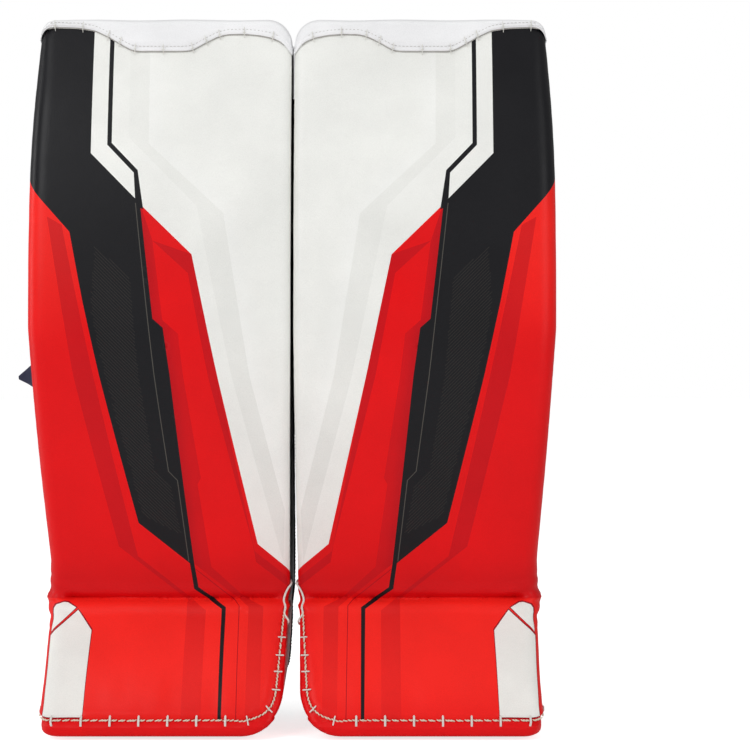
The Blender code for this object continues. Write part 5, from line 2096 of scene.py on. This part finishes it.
keeper_path = calf_keeper_path()
strap("calf_strap_keeper", "inner_wing", keeper_path, 0.032, 0.0022, UP, black_web)
keeper_stitches = stitched_box(keeper_path, 0.032, UP, 0.016, bmesh.new(), 0.0014)
emit("calf_keeper_stitches", mesh_from(keeper_stitches), "inner_wing", thread_grey)

tie = Vector((0.0, 0.041, 0.0335))
tie_path = spline([tie + Vector((0, back, -down)) for back, down in (
    (0, 0), (0.006, 0.0020), (0.012, 0.0040), (0.030, 0.0060), (0.048, 0.0030))], 7)
strap("toe_tie_webbing", "toe_tie", tie_path, 0.030, 0.0030, ACROSS, black_web, ("toe_tie",))
tie_stitches = stitched_box(tie_path, 0.030, ACROSS, 0.012, bmesh.new(), 0.0018)
stitched_box(tie_path[::-1], 0.030, ACROSS, 0.010, tie_stitches, 0.0018)
emit("toe_tie_stitches", mesh_from(tie_stitches), "toe_tie", thread_grey)

slide("knee_strap_slide", "knee_strap", knee_path, 16, TILTED, KNEE_WIDTH)
slide("calf_strap_slide", "calf_strap", calf_path, 14, UP, CALF_WIDTH)
slide("boot_strap_slide", "boot_strap", boot_path, 12, BOOT_LEAN, BOOT_WIDTH)


# ---- Finishes of the CAD nodes that stay ---------------------------------------------------------
KEPT = {
    "shin_core": shade_dark_foam,
    "boot_core": shade_dark_foam,
    "knee_block_core": shade_dark_foam,
    "face_stiffener": board,
}
for name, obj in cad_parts.items():
    kind = name.removeprefix("left_").removeprefix("right_")
    if kind in KEPT:
        if not obj.material_slots:
            obj.data.materials.append(KEPT[kind])
        for material_slot in obj.material_slots:
            material_slot.material = KEPT[kind]


# ---- Stage, lights and camera --------------------------------------------------------------------
def area_light(name, place, target, size, power):
    light = bpy.data.lights.new(name, "AREA")
    light.shape = "RECTANGLE"
    light.size, light.size_y = size
    light.energy = power
    obj = bpy.data.objects.new(name, light)
    bpy.context.scene.collection.objects.link(obj)
    obj.location = place
    obj.rotation_euler = (Vector(target) - Vector(place)).to_track_quat("-Z", "Y").to_euler()


def stage():
    bm = bmesh.new()
    bmesh.ops.create_circle(bm, cap_ends=True, segments=96, radius=30)
    mesh = bpy.data.meshes.new("floor")
    bm.to_mesh(mesh)
    bm.free()
    nodes = Nodes("pale_floor", 0.9)
    nodes.colour(nodes.mix(nodes.noise(3.0, 2.0), (0.90, 0.90, 0.90), (0.93, 0.93, 0.93)))
    seen = nodes.add("ShaderNodeLightPath").outputs["Is Camera Ray"]
    nodes.shader.inputs["Emission Color"].default_value = (1, 1, 1, 1)
    glow = 0.73  # for the camera alone, so that the floor meets the background without a line
    nodes.link(nodes.maths("MULTIPLY", seen, glow), nodes.shader.inputs["Emission Strength"])
    mesh.materials.append(nodes.material)
    floor = bpy.data.objects.new("floor", mesh)
    floor.location.z = cad_low.z - 0.0012
    bpy.context.scene.collection.objects.link(floor)

    world = bpy.data.worlds.new("studio")
    bpy.context.scene.world = world
    world.use_nodes = True
    tree = world.node_tree
    background = tree.nodes["Background"]
    background.inputs["Color"].default_value = (1, 1, 1, 1)
    path = tree.nodes.new("ShaderNodeLightPath")
    strength = tree.nodes.new("ShaderNodeMapRange")
    strength.inputs["To Min"].default_value = 0.32  # what lights the pads
    strength.inputs["To Max"].default_value = 1.0  # what the camera sees
    tree.links.new(path.outputs["Is Camera Ray"], strength.inputs["Value"])
    tree.links.new(strength.outputs["Result"], background.inputs["Strength"])

    middle = (0, 0, 0.38)
    area_light("key", (-1.6, -2.4, 1.9), middle, (1.6, 1.6), 38)
    area_light("fill", (1.9, -2.2, 1.2), middle, (1.6, 1.8), 21)
    area_light("top", (0.2, 0.1, 2.6), (0, 0, 0.4), (1.6, 1.2), 9)
    area_light("side", (-2.2, 0.1, 0.8), middle, (0.5, 1.6), 11)


def camera():
    """At the photograph's viewpoint: square on, a little right of the pair, at mid height."""
    width_seen = 0.790  # at the knee's face
    distance = 2.1
    data = bpy.data.cameras.new("camera")
    data.sensor_width = 36
    data.lens = data.sensor_width * distance / width_seen
    data.clip_end = 100
    obj = bpy.data.objects.new("camera", data)
    obj.location = (0.088, ORIGIN_Y - distance, 0.381)
    obj.rotation_euler = (math.pi / 2, 0, 0)
    bpy.context.scene.collection.objects.link(obj)
    bpy.context.scene.camera = obj


stage()
camera()
bpy.context.scene.view_settings.view_transform = "Standard"
